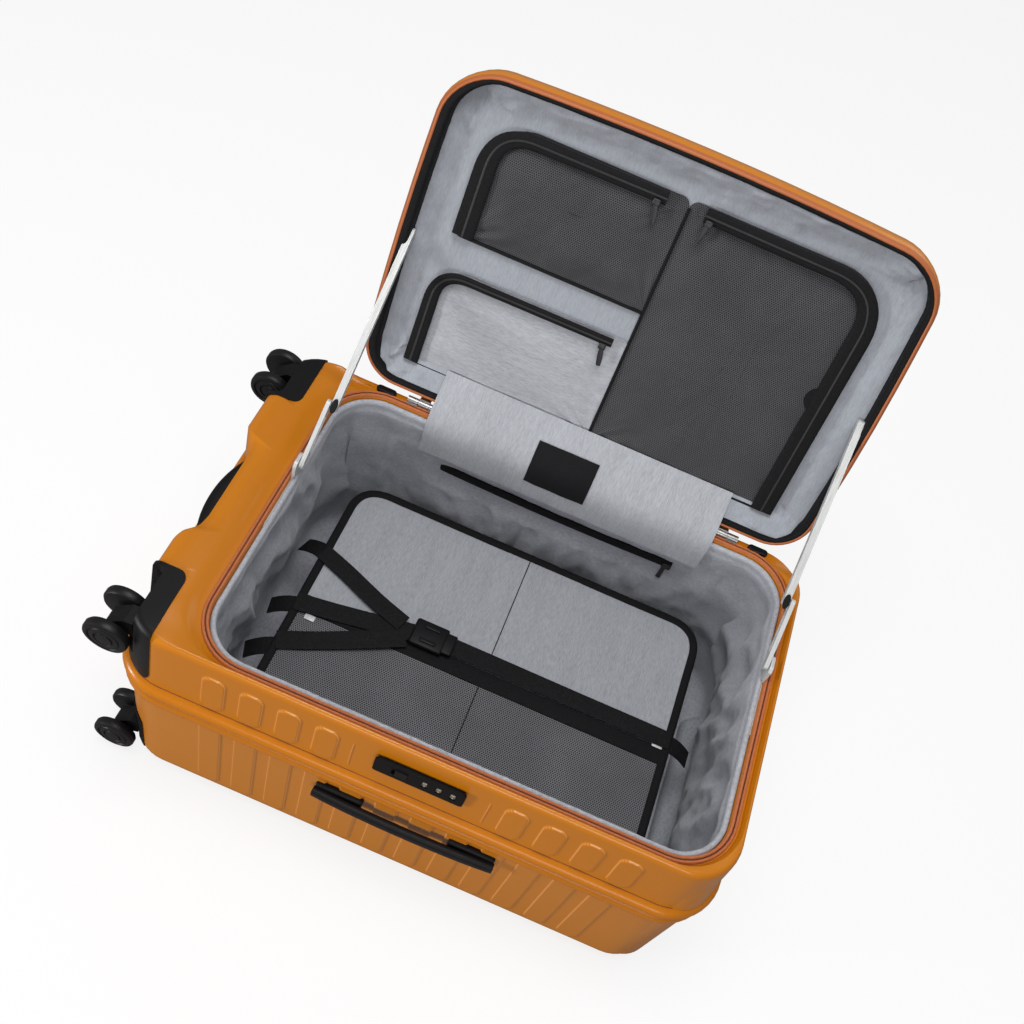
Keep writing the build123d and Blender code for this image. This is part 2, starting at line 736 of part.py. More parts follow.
notch_middle = (notch_y[0] + notch_y[1]) / 2
grab_z = (notch_floor + frame_top) / 2 - 5.0
grab_plane = Plane(origin=(notch_x, notch_middle, grab_z), x_dir=(0, 1, 0), z_dir=(0, 0, 1))
with BuildPart() as grab_handle:
    with BuildSketch(grab_plane):
        with BuildLine():
            Polyline((-60.0, 0), (-78.0, 0), (-78.0, 4.0))
            ThreePointArc((-78.0, 4.0), (0, 24.0), (78.0, 4.0))
            Polyline((78.0, 4.0), (78.0, 0), (60.0, 0))
            ThreePointArc((60.0, 0), (0, 14.5), (-60.0, 0))
        make_face()
    extrude(amount=grab_height / 2, both=True)
    fillet(grab_handle.faces().sort_by(Axis.X)[0].edges(), 2.5)
save(grab_handle.part, "bottom_grab_handle")

# ---- lock ----
plate_back = lock_face - lock_boss
lock_outline = Plane(origin=(lock_x, plate_back, lock_z), x_dir=(1, 0, 0), z_dir=(0, -1, 0))
with BuildPart() as lock_housing:
    add(block(lock_outline, (lock_length, lock_width), 4.0, lock_plate))
    inner_size = (lock_length - 6.4, lock_width - 6.4)
    add(block(lock_outline.offset(-lock_depth), inner_size, 2.0, lock_depth))
    for place in dial_places:
        well = (place - dial_width / 2 - 0.4, place + dial_width / 2 + 0.4)
        y_well = (plate_back - 10.0, plate_back + lock_depth - 1.5)
        z_well = (lock_z - dial_radius - 0.8, lock_z + dial_radius + 0.8)
        add(span(well, y_well, z_well), mode=Mode.SUBTRACT)
    release_well = (release_x - 11.0, release_x + 7.4)
    well_height = (lock_z - 6.4, lock_z + 6.4)
    add(span(release_well, (plate_back - 10.0, plate_back), well_height), mode=Mode.SUBTRACT)
save(lock_housing.part, "lock_housing")

dial_y = plate_back - lock_plate - 1.0 + dial_radius
for number, place in enumerate(dial_places, start=1):
    with BuildPart() as dial:
        add(rod(Plane.YZ.offset(place - dial_width / 2), (dial_y, lock_z), dial_radius, dial_width))
        chamfer(dial.edges(), 0.6)
    save(dial.part, "lock_dial_" + str(number))

release_x_span = (release_x - 7.0, release_x + 7.0)
release_y_span = (plate_back - lock_plate - 1.2, plate_back - 0.2)
save(span(release_x_span, release_y_span, (lock_z - 6.0, lock_z + 6.0), 1.0), "lock_release")

# ---- rim bumpers ----
with BuildPart() as rim_bumpers:
    with BuildSketch(Plane.XY.offset(rim_height)):
        with Locations(*[(place, hinge_y) for place in bumper_places]):
            SlotOverall(bumper_size[0], bumper_size[1])
    extrude(amount=bumper_size[2])
    fillet(rim_bumpers.faces().sort_by(Axis.Z)[-2:].edges(), 1.5)
save(rim_bumpers.part, "rim_bumpers")

# ---- trolley handle ----


def tube_pair(start, end, size, thickness):
    """Two parallel rectangular tubes along X."""
    with BuildPart() as made:
        with BuildSketch(Plane.YZ.offset(start)):
            with Locations((-tube_y, tube_z), (tube_y, tube_z)):
                RectangleRounded(size[0], size[1], 3.0)
                inside = (size[0] - 2 * thickness, size[1] - 2 * thickness)
                RectangleRounded(inside[0], inside[1], 2.0, mode=Mode.SUBTRACT)
        extrude(amount=end - start)
    return made.part


recess_x = bezel_x + 5.0
grip_x = (bezel_x + 12.0, bezel_x + 26.0)
save(tube_pair(tube_start, bezel_x, outer_tube, tube_wall), "trolley_outer_tubes")
save(tube_pair(tube_start + 5.0, bezel_x + 6.0, middle_tube, tube_wall), "trolley_middle_tubes")
save(tube_pair(tube_start + 10.0, grip_x[0], inner_tube, tube_wall), "trolley_inner_tubes")

with BuildPart() as trolley_bezel:
    add(block(down, (shell_length, shell_width), corner_radius, split_height, rear_draft))
    fillet(trolley_bezel.faces().sort_by(Axis.Z)[0].edges(), back_edge_radius)
    add(bezel_space, mode=Mode.INTERSECT)
    grip_room = span(
        (recess_x, half_length + 10.0), (-grip_recess_half, grip_recess_half), (wall + 3.0, bezel_top - 5.0)
    )
    add(grip_room, mode=Mode.SUBTRACT)
    for side in (-1, 1):
        hole_y = (side * tube_y - middle_tube[0] / 2 - 0.4, side * tube_y + middle_tube[0] / 2 + 0.4)
        hole_z = (tube_z - middle_tube[1] / 2 - 0.4, tube_z + middle_tube[1] / 2 + 0.4)
        add(span((bezel_x - 5.0, recess_x + 5.0), hole_y, hole_z), mode=Mode.SUBTRACT)
save(trolley_bezel.part, "trolley_bezel")

grip_z = (tube_z - 8.0, tube_z + 8.0)
button_half = 14.0
with BuildPart() as trolley_grip:
    add(span(grip_x, (-grip_recess_half + 4.0, grip_recess_half - 4.0), grip_z))
    fillet(trolley_grip.edges().filter_by(Axis.Y), 4.0)
    button_hole = span(
        (grip_x[1] - 6.0, grip_x[1] + 6.0),
        (-button_half - 0.3, button_half + 0.3),
        (tube_z - 4.3, tube_z + 4.3),
    )
    add(button_hole, mode=Mode.SUBTRACT)
save(trolley_grip.part, "trolley_grip")
button_x = (grip_x[1] - 2.6, grip_x[1] + 1.6)
save(span(button_x, (-button_half, button_half), (tube_z - 4.0, tube_z + 4.0)), "trolley_button")

# ---- body lining and packing panel ----
lining_lean = (rim_height - frame_base) * lean + lining_clear     # how far the sloping frame wall reaches in
lining_x = (pocket_x + wall + lining_gap + 4.0, half_length - wall - lining_gap - lining_lean)
lining_half = half_width - wall - lining_gap - lining_lean
lining_center = ((lining_x[0] + lining_x[1]) / 2, 0)
lining_size = (lining_x[1] - lining_x[0], 2 * lining_half)
mouth = (opening_length - 2 * mouth_gap, opening_width - 2 * mouth_gap)
mouth_inside = (mouth[0] - 2 * mouth_roll, mouth[1] - 2 * mouth_roll)
lining_top = lip_bottom - 0.3


def bezel_step(skin):
    """The step in the lining's floor over the trolley bezel."""
    reach = bezel_half + 2.0 + skin
    return span((bezel_x - 2.0 - skin, half_length), (-reach, reach), (0.0, bezel_top + 2.0 + skin))


with BuildPart() as lining_room:
    inside = (lining_size[0] - 2 * lining_wall, lining_size[1] - 2 * lining_wall)
    start = Plane.XY.offset(lining_low + lining_wall)
    add(block(start, inside, 42.4, lining_top - lining_low - 2 * lining_wall, 0, lining_center))
    fillet(lining_room.faces().sort_by(Axis.Z)[0].edges(), 12.4)
    add(bezel_step(lining_wall), mode=Mode.SUBTRACT)

with BuildPart() as body_lining:
    add(block(Plane.XY.offset(lining_low), lining_size, 44.0, lining_top - lining_low, 0, lining_center))
    fillet(body_lining.faces().sort_by(Axis.Z)[0].edges(), 14.0)
    add(bezel_step(0.0), mode=Mode.SUBTRACT)
    add(lining_room.part, mode=Mode.SUBTRACT)
    roll_base = Plane.XY.offset(lining_top - lining_wall)
    roll_height = rim_height - 2.0 - lining_top + lining_wall
    add(block(roll_base, mouth, opening_radius - mouth_gap, roll_height, 0, (opening_x, 0)))
    mouth_plane = Plane.XY.offset(lining_top - 12.0)
    mouth_radius = opening_radius - mouth_gap - mouth_roll
    add(block(mouth_plane, mouth_inside, mouth_radius, 60.0, 0, (opening_x, 0)), mode=Mode.SUBTRACT)
save(body_lining.part, "body_lining")

wall_zip_y = (lining_half - lining_wall - 2.0, lining_half - lining_wall)
save(span((-130.0, 198.0), wall_zip_y, (split_height + 6.0, split_height + 18.0)), "wall_zip")

divider_y = (divider_hinge_y - divider_depth, divider_hinge_y)
divider_mid = (divider_y[0] + divider_y[1]) / 2
panel_z = (divider_z, divider_z + divider_thickness)
border_z = (divider_z - 1.0, divider_z + divider_thickness + 1.0)
divider_center = ((divider_x[0] + divider_x[1]) / 2, divider_mid)
divider_size = (divider_x[1] - divider_x[0], divider_depth)
divider_radius = 34.0
cloth_size = (divider_size[0] - 2 * border_width, divider_size[1] - 2 * border_width)
cloth_radius = divider_radius - border_width
middle_bar = (divider_mid - border_width / 2, divider_mid + border_width / 2)
halves = {"panel_fabric": (middle_bar[1], divider_y[1]), "panel_mesh": (divider_y[0], middle_bar[0])}
for name, y_limits in halves.items():
    with BuildPart() as cloth:
        add(block(Plane.XY.offset(panel_z[0]), cloth_size, cloth_radius, divider_thickness, 0, divider_center))
        add(span(divider_x, y_limits, (panel_z[0] - 1.0, panel_z[1] + 1.0)), mode=Mode.INTERSECT)
    save(cloth.part, name)

with BuildPart() as panel_border:
    border_height = border_z[1] - border_z[0]
    add(block(Plane.XY.offset(border_z[0]), divider_size, divider_radius, border_height, 0, divider_center))
    add(
        block(Plane.XY.offset(border_z[0] - 1), cloth_size, cloth_radius, border_height + 2, 0, divider_center),
        mode=Mode.SUBTRACT,
    )
    add(span((divider_x[0] + 2.0, divider_x[1] - 2.0), middle_bar, border_z))
save(panel_border.part, "panel_border")

strap_z = (border_z[1], border_z[1] + 1.6)
buckle_x = (-72.0, -18.0)
strap_y = (divider_mid - webbing_width / 2, divider_mid + webbing_width / 2)
with BuildPart() as panel_straps:
    add(span((divider_x[0], buckle_x[0]), strap_y, strap_z))
    add(span((buckle_x[1], divider_x[1]), strap_y, strap_z))
    add(span((divider_x[0] + 4.0, divider_x[0] + 4.0 + webbing_width), (strap_y[1] + 0.5, divider_mid + 106.0), strap_z))
save(panel_straps.part, "panel_straps")
buckle_y = (strap_y[0] - 3.0, strap_y[1] + 3.0)
save(span(buckle_x, buckle_y, (border_z[1], border_z[1] + 10.0), 5.0), "strap_buckle")

with BuildPart() as strap_anchors:
    for side_x in (
        (lining_x[0] + lining_wall, divider_x[0] - 0.8),
        (divider_x[1] + 0.8, lining_x[1] - lining_wall),
    ):
        for place in (divider_mid - 122.0, divider_mid - 2.0, divider_mid + 118.0):
            add(span(side_x, (place - 10.0, place + 10.0), (divider_z + 1.0, divider_z + 3.0)))
save(strap_anchors.part, "strap_anchors")
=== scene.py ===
import json
import math
from functools import partial

import bmesh
import bpy
from bpy.props import FloatProperty, FloatVectorProperty, PointerProperty
from bpy.types import Operator, Panel, PropertyGroup
from mathutils import Matrix, Vector, noise


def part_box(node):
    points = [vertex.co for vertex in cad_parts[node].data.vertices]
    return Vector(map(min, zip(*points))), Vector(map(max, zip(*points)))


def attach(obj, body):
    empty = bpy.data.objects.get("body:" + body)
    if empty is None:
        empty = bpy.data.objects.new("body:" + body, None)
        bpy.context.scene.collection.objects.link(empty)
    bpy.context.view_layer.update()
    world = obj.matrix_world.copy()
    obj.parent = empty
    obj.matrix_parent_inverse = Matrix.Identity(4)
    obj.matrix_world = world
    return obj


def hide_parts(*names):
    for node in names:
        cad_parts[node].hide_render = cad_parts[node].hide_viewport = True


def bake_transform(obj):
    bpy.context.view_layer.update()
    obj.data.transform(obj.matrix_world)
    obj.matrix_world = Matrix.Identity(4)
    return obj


bl_info = {
    "name": "Hard Shell Suitcase",
    "version": (1, 0, 0),
    "blender": (4, 5, 0),
    "location": "3D View > Sidebar > Suitcase",
    "description": "Models an open hard shell suitcase with its lining, straps, stays and casters",
    "category": "Add Mesh",
}

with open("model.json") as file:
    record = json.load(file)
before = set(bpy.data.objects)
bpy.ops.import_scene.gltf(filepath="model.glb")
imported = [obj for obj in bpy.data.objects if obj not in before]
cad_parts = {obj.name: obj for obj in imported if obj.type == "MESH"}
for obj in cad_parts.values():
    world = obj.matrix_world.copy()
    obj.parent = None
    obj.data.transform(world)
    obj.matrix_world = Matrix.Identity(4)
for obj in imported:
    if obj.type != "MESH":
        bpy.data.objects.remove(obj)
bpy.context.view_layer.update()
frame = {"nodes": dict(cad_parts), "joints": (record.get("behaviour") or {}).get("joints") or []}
JOINTS = {joint["name"]: joint for joint in frame["joints"]}
MM = 0.001

# The body: half its length and width, the radius of its corners, and the heights of the shells' edges.
HALF_X, HALF_Y, CORNER = 0.35, 0.225, 0.058
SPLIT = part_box("expansion_bead")[0].z
FRAME_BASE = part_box("expansion_bead")[1].z
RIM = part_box("body_zip_ring")[0].z
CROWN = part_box("front_frame")[1].z
REAR_DRAFT = math.tan(math.radians(1.5))
FRAME_DRAFT = math.tan(math.radians(3.5))
WALL = 0.0024
MOUTH_X = 0.029

# The lid: its frame turns about the hinge, with reach measured out from the hinge line.
HINGE = Vector(JOINTS["lid_hinge"]["pos_m"])
LID_LEAN = -math.radians(JOINTS["lid_hinge"]["range_deg"][1])
LID = Matrix.Translation(HINGE) @ Matrix.Rotation(LID_LEAN, 4, "X")
LID_UP = LID.to_3x3() @ Vector((0, 0, -1))
LID_HALF_X = 0.300
LID_BACK = 0.006
LID_FRONT = 0.417
LID_CORNER = 0.062

UP = Vector((0, 0, 1))
CORNER_STEPS = 10
RIB_PITCH = 0.043
RIB_HALF = 0.013
RIB_ROUND = 0.010


# ---------------------------------------------------------------- numbers


def mix(a, b, t):
    return a + (b - a) * t


def spaced(count):
    """Even stops along a side, as fractions of its length."""
    return tuple(i / count for i in range(1, count))


def ease(low, high, value):
    """0 below low, 1 above high, with a smooth rise between."""
    t = min(max((value - low) / (high - low), 0.0), 1.0)
    return t * t * (3.0 - 2.0 * t)


def between(value, low, high, soft):
    """1 inside the range, fading to 0 over a soft margin each side."""
    return ease(low - soft, low + soft, value) * (1.0 - ease(high - soft, high + soft, value))


def lid_point(x, reach, depth):
    """A point on the lid: along the hinge, out from the hinge, and up through the lid's depth."""
    return LID @ Vector((x, -reach, depth))


# ---------------------------------------------------------------- meshes


def outline(x0, x1, y0, y1, radius, z, runs=((), ())):
    """A rounded rectangle, counter-clockwise from its near side; runs divide its long and short sides.
    The radius is one number, or four for the near left, near right, far right and far left corners."""
    a, b, c, d = radius if isinstance(radius, tuple) else (radius,) * 4
    points = []
    sides = (
        ((x0 + a, y0), (x1 - b, y0), runs[0], (x1 - b, y0 + b), b, -90.0),
        ((x1, y0 + b), (x1, y1 - c), runs[1], (x1 - c, y1 - c), c, 0.0),
        ((x1 - c, y1), (x0 + d, y1), runs[0], (x0 + d, y1 - d), d, 90.0),
        ((x0, y1 - d), (x0, y0 + a), runs[1], (x0 + a, y0 + a), a, 180.0),
    )
    for start, end, places, center, corner, angle in sides:
        points.append(Vector((start[0], start[1], z)))
        for place in places:
            points.append(Vector((mix(start[0], end[0], place), mix(start[1], end[1], place), z)))
        for step in range(CORNER_STEPS):
            turn = math.radians(angle + 90.0 * step / CORNER_STEPS)
            points.append(
                Vector((center[0] + corner * math.cos(turn), center[1] + corner * math.sin(turn), z))
            )
    return points


def inset_outline(inset, z, runs=((), ())):
    """The body's outline pulled in by an inset, corners included."""
    x, y = HALF_X - inset, HALF_Y - inset
    return outline(-x, x, -y, y, max(CORNER - inset, 0.002), z, runs)


def pull(bm, verts, edges, row):
    """Extrude a loop of edges and lay its new points on the next row."""
    made = bmesh.ops.extrude_edge_only(bm, edges=edges)["geom"]
    fresh = {item for item in made if isinstance(item, bmesh.types.BMVert)}
    moved = []
    for vert, place in zip(verts, row):
        new = next(e.other_vert(vert) for e in vert.link_edges if e.other_vert(vert) in fresh)
        moved.append(new)
        new.co = place
    rim = [e for e in made if isinstance(e, bmesh.types.BMEdge) and set(e.verts) <= fresh]
    return moved, rim


def loft(rows, ring=False, caps=True, bm=None):
    """Pull a loop of points through a list of rows; a ring joins its last row to its first."""
    bm = bm or bmesh.new()
    verts = [bm.verts.new(point) for point in rows[0]]
    edges = [bm.edges.new(pair) for pair in zip(verts, verts[1:] + verts[:1])]
    start = list(edges)
    for row in rows[1:]:
        verts, edges = pull(bm, verts, edges, row)
    if ring:
        bmesh.ops.bridge_loops(bm, edges=start + edges)
    elif caps:
        bmesh.ops.edgeloop_fill(bm, edges=start)
        bmesh.ops.edgeloop_fill(bm, edges=edges)
    return bm


def finish_mesh(bm, name, material, matrix=None, smooth=40.0, merge=0.0):
    """Turn a bmesh into an object with outward faces and edges that stay sharp above an angle."""
    if merge > 0:
        bmesh.ops.remove_doubles(bm, verts=bm.verts[:], dist=merge)
    if matrix is not None:
        bmesh.ops.transform(bm, matrix=matrix, verts=bm.verts[:])
    bmesh.ops.recalc_face_normals(bm, faces=bm.faces[:])
    limit = math.radians(smooth)
    for face in bm.faces:
        face.smooth = True
    for edge in bm.edges:
        if len(edge.link_faces) == 2 and edge.calc_face_angle(0.0) > limit:
            edge.smooth = False
    mesh = bpy.data.meshes.new(name)
    bm.to_mesh(mesh)
    bm.free()
    piece = bpy.data.objects.new(name, mesh)
    bpy.context.scene.collection.objects.link(piece)
    mesh.materials.append(MATERIALS[material])
    return piece


def settle(piece):
    """Keep the result of a piece's modifiers as its mesh."""
    depsgraph = bpy.context.evaluated_depsgraph_get()
    mesh = bpy.data.meshes.new_from_object(piece.evaluated_get(depsgraph))
    old = piece.data
    piece.modifiers.clear()
    piece.data = mesh
    bpy.data.meshes.remove(old)
    return piece


def rounded_box(bm, low, high, radius, segments=3, matrix=None):
    """A box between two corners with all its edges rounded, added to a bmesh."""
    made = bmesh.ops.create_cube(bm, size=1.0)["verts"]
    size = Vector(high) - Vector(low)
    middle = (Vector(high) + Vector(low)) / 2
    bmesh.ops.scale(bm, vec=size, verts=made)
    bmesh.ops.translate(bm, vec=middle, verts=made)
    edges = list(dict.fromkeys(edge for vert in made for edge in vert.link_edges))
    made = bmesh.ops.bevel(
        bm, geom=edges, offset=min(radius, min(size) * 0.49), offset_type="OFFSET", segments=segments,
        profile=0.5, affect="EDGES", material=-1,
    )["verts"]
    if matrix is not None:
        bmesh.ops.transform(bm, matrix=matrix, verts=made)
    return made


def cut(piece, *boxes, radius=0.004):
    """Take rounded boxes, each given by two corners, out of a closed piece."""
    for low, high in boxes:
        bm = bmesh.new()
        rounded_box(bm, low, high, radius)
        carve(piece, finish_mesh(bm, "cutting_box", piece.data.materials[0].name))
    return piece


def carve(piece, tool, operation="DIFFERENCE"):
    """Cut one closed piece with another, which is used up."""
    modifier = piece.modifiers.new("carve", "BOOLEAN")
    modifier.operation = operation
    modifier.solver = "EXACT"
    modifier.object = tool
    settle(piece)
    bpy.data.objects.remove(tool)
    return piece


def smooth_path(points, steps=8):
    """A Catmull-Rom curve through a few points."""
    last = len(points) - 1
    result = []
    for index in range(last):
        a, b, c, d = (points[min(max(index + k - 1, 0), last)] for k in range(4))
        for step in range(steps):
            t = step / steps
            bend = 2 * a - 5 * b + 4 * c - d
            twist = 3 * b - a - 3 * c + d
            result.append(0.5 * (2 * b + (c - a) * t + bend * t * t + twist * t * t * t))
    result.append(points[-1].copy())
    return result


def corner_path(points, radius, steps=6, closed=False):
    """Straight runs between points with each corner turned as an arc-like curve."""
    count = len(points)
    result = []
    for index, point in enumerate(points):
        if not closed and index in (0, count - 1):
            result.append(point.copy())
            continue
        before = points[(index - 1) % count] - point
        after = points[(index + 1) % count] - point
        reach = min(radius, before.length * 0.48, after.length * 0.48)
        start = point + before.normalized() * reach
        end = point + after.normalized() * reach
        for step in range(steps + 1):
            t = step / steps
            result.append(start * (1 - t) ** 2 + point * 2 * t * (1 - t) + end * t * t)
    return result


def rounded_ring(middle, half, across, rise, powers=(0.5, 0.5), sides=12):
    """A flattened ring of points round a middle, with half sizes along two directions."""
    row = []
    for side in range(sides):
        turn = 2 * math.pi * (side + 0.5) / sides
        c, s = math.cos(turn), math.sin(turn)
        row.append(
            middle
            + across * half[0] * math.copysign(abs(c) ** powers[0], c)
            + rise * half[1] * math.copysign(abs(s) ** powers[1], s)
        )
    return row


def sweep(bm, path, width, thickness, up, closed=False, sides=12, power=0.5):
    """A flat or round band along a path: width across, thickness along up, with rounded edges."""
    rows = []
    count = len(path)
    for index, point in enumerate(path):
        ahead = path[(index + 1) % count] if closed else path[min(index + 1, count - 1)]
        behind = path[(index - 1) % count] if closed else path[max(index - 1, 0)]
        tangent = (ahead - behind).normalized()
        across = tangent.cross(up).normalized()
        rise = across.cross(tangent).normalized()
        w = width(index / max(count - 1, 1)) if callable(width) else width
        rows.append(rounded_ring(point, (w / 2, thickness / 2), across, rise, (power, power), sides))
    loft(rows, ring=closed, bm=bm)


def disc(bm, profile, axis_point, axis, steps=40):
    """Spin a profile of (radius, place along the axis) pairs round an axis."""
    axis = Vector(axis).normalized()
    side = axis.orthogonal().normalized()
    points = [Vector(axis_point) + axis * along + side * radius for radius, along in profile]
    verts = [bm.verts.new(point) for point in points]
    edges = [bm.edges.new(pair) for pair in zip(verts, verts[1:])]
    bmesh.ops.spin(
        bm, geom=verts + edges, cent=axis_point, axis=axis, angle=2 * math.pi, steps=steps,
        use_merge=True, use_duplicate=False,
    )


# ---------------------------------------------------------------- materials


SOCKET_KINDS = {0: "NodeSocketFloat", 3: "NodeSocketVector", 4: "NodeSocketColor"}
TURN = 2 * math.pi
MATERIALS = {}


def add_node(tree, kind, inputs=None, **values):
    """Make a node; inputs are numbers or sockets to link, values are its own settings."""
    node = tree.nodes.new(kind)
    for key, value in values.items():
        setattr(node, key, value)
    for key, value in (inputs or {}).items():
        if isinstance(value, bpy.types.NodeSocket):
            tree.links.new(value, node.inputs[key])
        else:
            node.inputs[key].default_value = value
    return node


def math_node(tree, operation, a, b=0.0, clamp=False):
    return add_node(tree, "ShaderNodeMath", {0: a, 1: b}, operation=operation, use_clamp=clamp).outputs[0]


def multiply(tree, a, b, clamp=False):
    return math_node(tree, "MULTIPLY", a, b, clamp)


def add(tree, a, b):
    return math_node(tree, "ADD", a, b)


def speckle(tree, vector, scale, detail, **more):
    """The grey of a noise texture."""
    inputs = {"Vector": vector, "Scale": scale, "Detail": detail, **more}
    return add_node(tree, "ShaderNodeTexNoise", inputs).outputs["Fac"]


def ramp_between(tree, value, low, high, out_low=0.0, out_high=1.0):
    inputs = {"Value": value, "From Min": low, "From Max": high, "To Min": out_low, "To Max": out_high}
    return add_node(tree, "ShaderNodeMapRange", inputs).outputs["Result"]


def blend_colour(tree, factor, a, b):
    return add_node(tree, "ShaderNodeMix", {"Factor": factor, 6: a, 7: b}, data_type="RGBA").outputs[2]


def moulded_surface(tree, inside):
    """Moulded plastic: a slow drift of colour, a fine pebbled height and uneven gloss."""
    slow = speckle(tree, inside["Vector"], 7.0, 3.0)
    fine = speckle(tree, inside["Vector"], inside["Grain Size"], 2.0)
    smear = speckle(tree, inside["Vector"], 45.0, 4.0)
    colour = blend_colour(tree, multiply(tree, slow, inside["Drift"]), inside["Colour"], inside["Shade"])
    rough = add(tree, inside["Gloss"], multiply(tree, smear, inside["Gloss Spread"]))
    return colour, rough, fine


def heathered_cloth(tree, inside):
    """Heathered polyester: long pale and dark threads over a fine plain weave."""
    threads = speckle(tree, inside["Threads"], 1.0, 4.0, Roughness=0.7)
    patches = speckle(tree, inside["Threads"], 0.12, 2.0)
    weave = {"Vector": inside["Weave"], "Scale": 1.0}
    cells = add_node(tree, "ShaderNodeTexVoronoi", weave, distance="CHEBYCHEV").outputs["Distance"]
    sharp = ramp_between(tree, threads, 0.36, 0.64)
    broad = ramp_between(tree, patches, 0.3, 0.7)
    joined = add(tree, multiply(tree, sharp, 0.75), multiply(tree, broad, 0.25))
    amount = multiply(tree, joined, inside["Contrast"], clamp=True)
    colour = blend_colour(tree, amount, inside["Light"], inside["Dark"])
    knots = ramp_between(tree, cells, 0.2, 0.7, 1.0, 0.0)
    height = add(tree, multiply(tree, knots, 0.6), multiply(tree, sharp, 0.4))
    return colour, ramp_between(tree, sharp, 0.0, 1.0, 0.82, 0.95), height


def knitted_net(tree, inside):
    """A fine knitted net: round holes in staggered rows between pale yarns."""
    split = add_node(tree, "ShaderNodeSeparateXYZ", {0: inside["Vector"]}).outputs
    slants = [add(tree, multiply(tree, split[0], 0.866), multiply(tree, split[1], y)) for y in (0.5, -0.5)]
    waves = [math_node(tree, "COSINE", multiply(tree, along, TURN)) for along in (*slants, split[1])]
    yarn = ramp_between(tree, add(tree, add(tree, waves[0], waves[1]), waves[2]), 0.9, -0.6)
    patch = speckle(tree, inside["Vector"], 0.03, 2.0)
    tone = multiply(tree, yarn, ramp_between(tree, patch, 0.3, 0.7, 0.75, 1.0))
    colour = blend_colour(tree, tone, inside["Hole"], inside["Yarn"])
    return colour, ramp_between(tree, yarn, 0.0, 1.0, 0.9, 0.7), yarn


def ribbed_tape(tree, inside):
    """Woven tape: fine ribs across it and a slight fleck along the yarns."""
    split = add_node(tree, "ShaderNodeSeparateXYZ", {0: inside["Vector"]}).outputs
    waves = [math_node(tree, "SINE", multiply(tree, along, TURN)) for along in (split[0], split[1])]
    ribs = ramp_between(tree, multiply(tree, *waves), -1.0, 1.0)
    fleck = speckle(tree, inside["Vector"], 0.6, 3.0)
    amount = multiply(tree, ramp_between(tree, fleck, 0.45, 0.75), ribs)
    colour = blend_colour(tree, amount, inside["Colour"], inside["Fleck"])
    return colour, ramp_between(tree, ribs, 0.0, 1.0, 0.8, 0.6), ribs


def drawn_metal(tree, inside):
    """Metal with fine marks drawn along one direction."""
    marks = speckle(tree, inside["Vector"], 1.0, 5.0)
    amount = ramp_between(tree, marks, 0.35, 0.65)
    colour = blend_colour(tree, amount, inside["Colour"], inside["Shade"])
    return colour, add(tree, inside["Gloss"], multiply(tree, amount, 0.12)), marks


# Each effect: the function that wires it, and its inputs with their first values.
EFFECTS = {
    "Moulded Surface": (moulded_surface, {
        "Vector": (0, 0, 0), "Colour": (0.5, 0.5, 0.5, 1), "Shade": (0.3, 0.3, 0.3, 1), "Drift": 0.3,
        "Grain Size": 900.0, "Gloss": 0.4, "Gloss Spread": 0.08,
    }),
    "Heathered Cloth": (heathered_cloth, {
        "Threads": (0, 0, 0), "Weave": (0, 0, 0), "Light": (0.4, 0.4, 0.42, 1), "Dark": (0.2, 0.2, 0.21, 1),
        "Contrast": 0.6,
    }),
    "Knitted Net": (knitted_net, {
        "Vector": (0, 0, 0), "Yarn": (0.1, 0.1, 0.1, 1), "Hole": (0.02, 0.02, 0.02, 1),
    }),
    "Ribbed Tape": (ribbed_tape, {
        "Vector": (0, 0, 0), "Colour": (0.02, 0.02, 0.02, 1), "Fleck": (0.06, 0.06, 0.06, 1),
    }),
    "Drawn Metal": (drawn_metal, {
        "Vector": (0, 0, 0), "Colour": (0.6, 0.6, 0.6, 1), "Shade": (0.4, 0.4, 0.4, 1), "Gloss": 0.35,
    }),
}


def effect_group(name):
    """A node group that turns an effect's inputs into a colour, a roughness and a height, made once."""
    if name in bpy.data.node_groups:
        return bpy.data.node_groups[name]
    wire, inputs = EFFECTS[name]
    tree = bpy.data.node_groups.new(name, "ShaderNodeTree")
    for label, default in inputs.items():
        kind = SOCKET_KINDS[len(default) if isinstance(default, tuple) else 0]
        tree.interface.new_socket(name=label, in_out="INPUT", socket_type=kind).default_value = default
    for label, size in (("Colour", 4), ("Roughness", 0), ("Height", 0)):
        tree.interface.new_socket(name=label, in_out="OUTPUT", socket_type=SOCKET_KINDS[size])
    results = wire(tree, tree.nodes.new("NodeGroupInput").outputs)
    add_node(tree, "NodeGroupOutput", dict(zip(("Colour", "Roughness", "Height"), results)))
    return tree


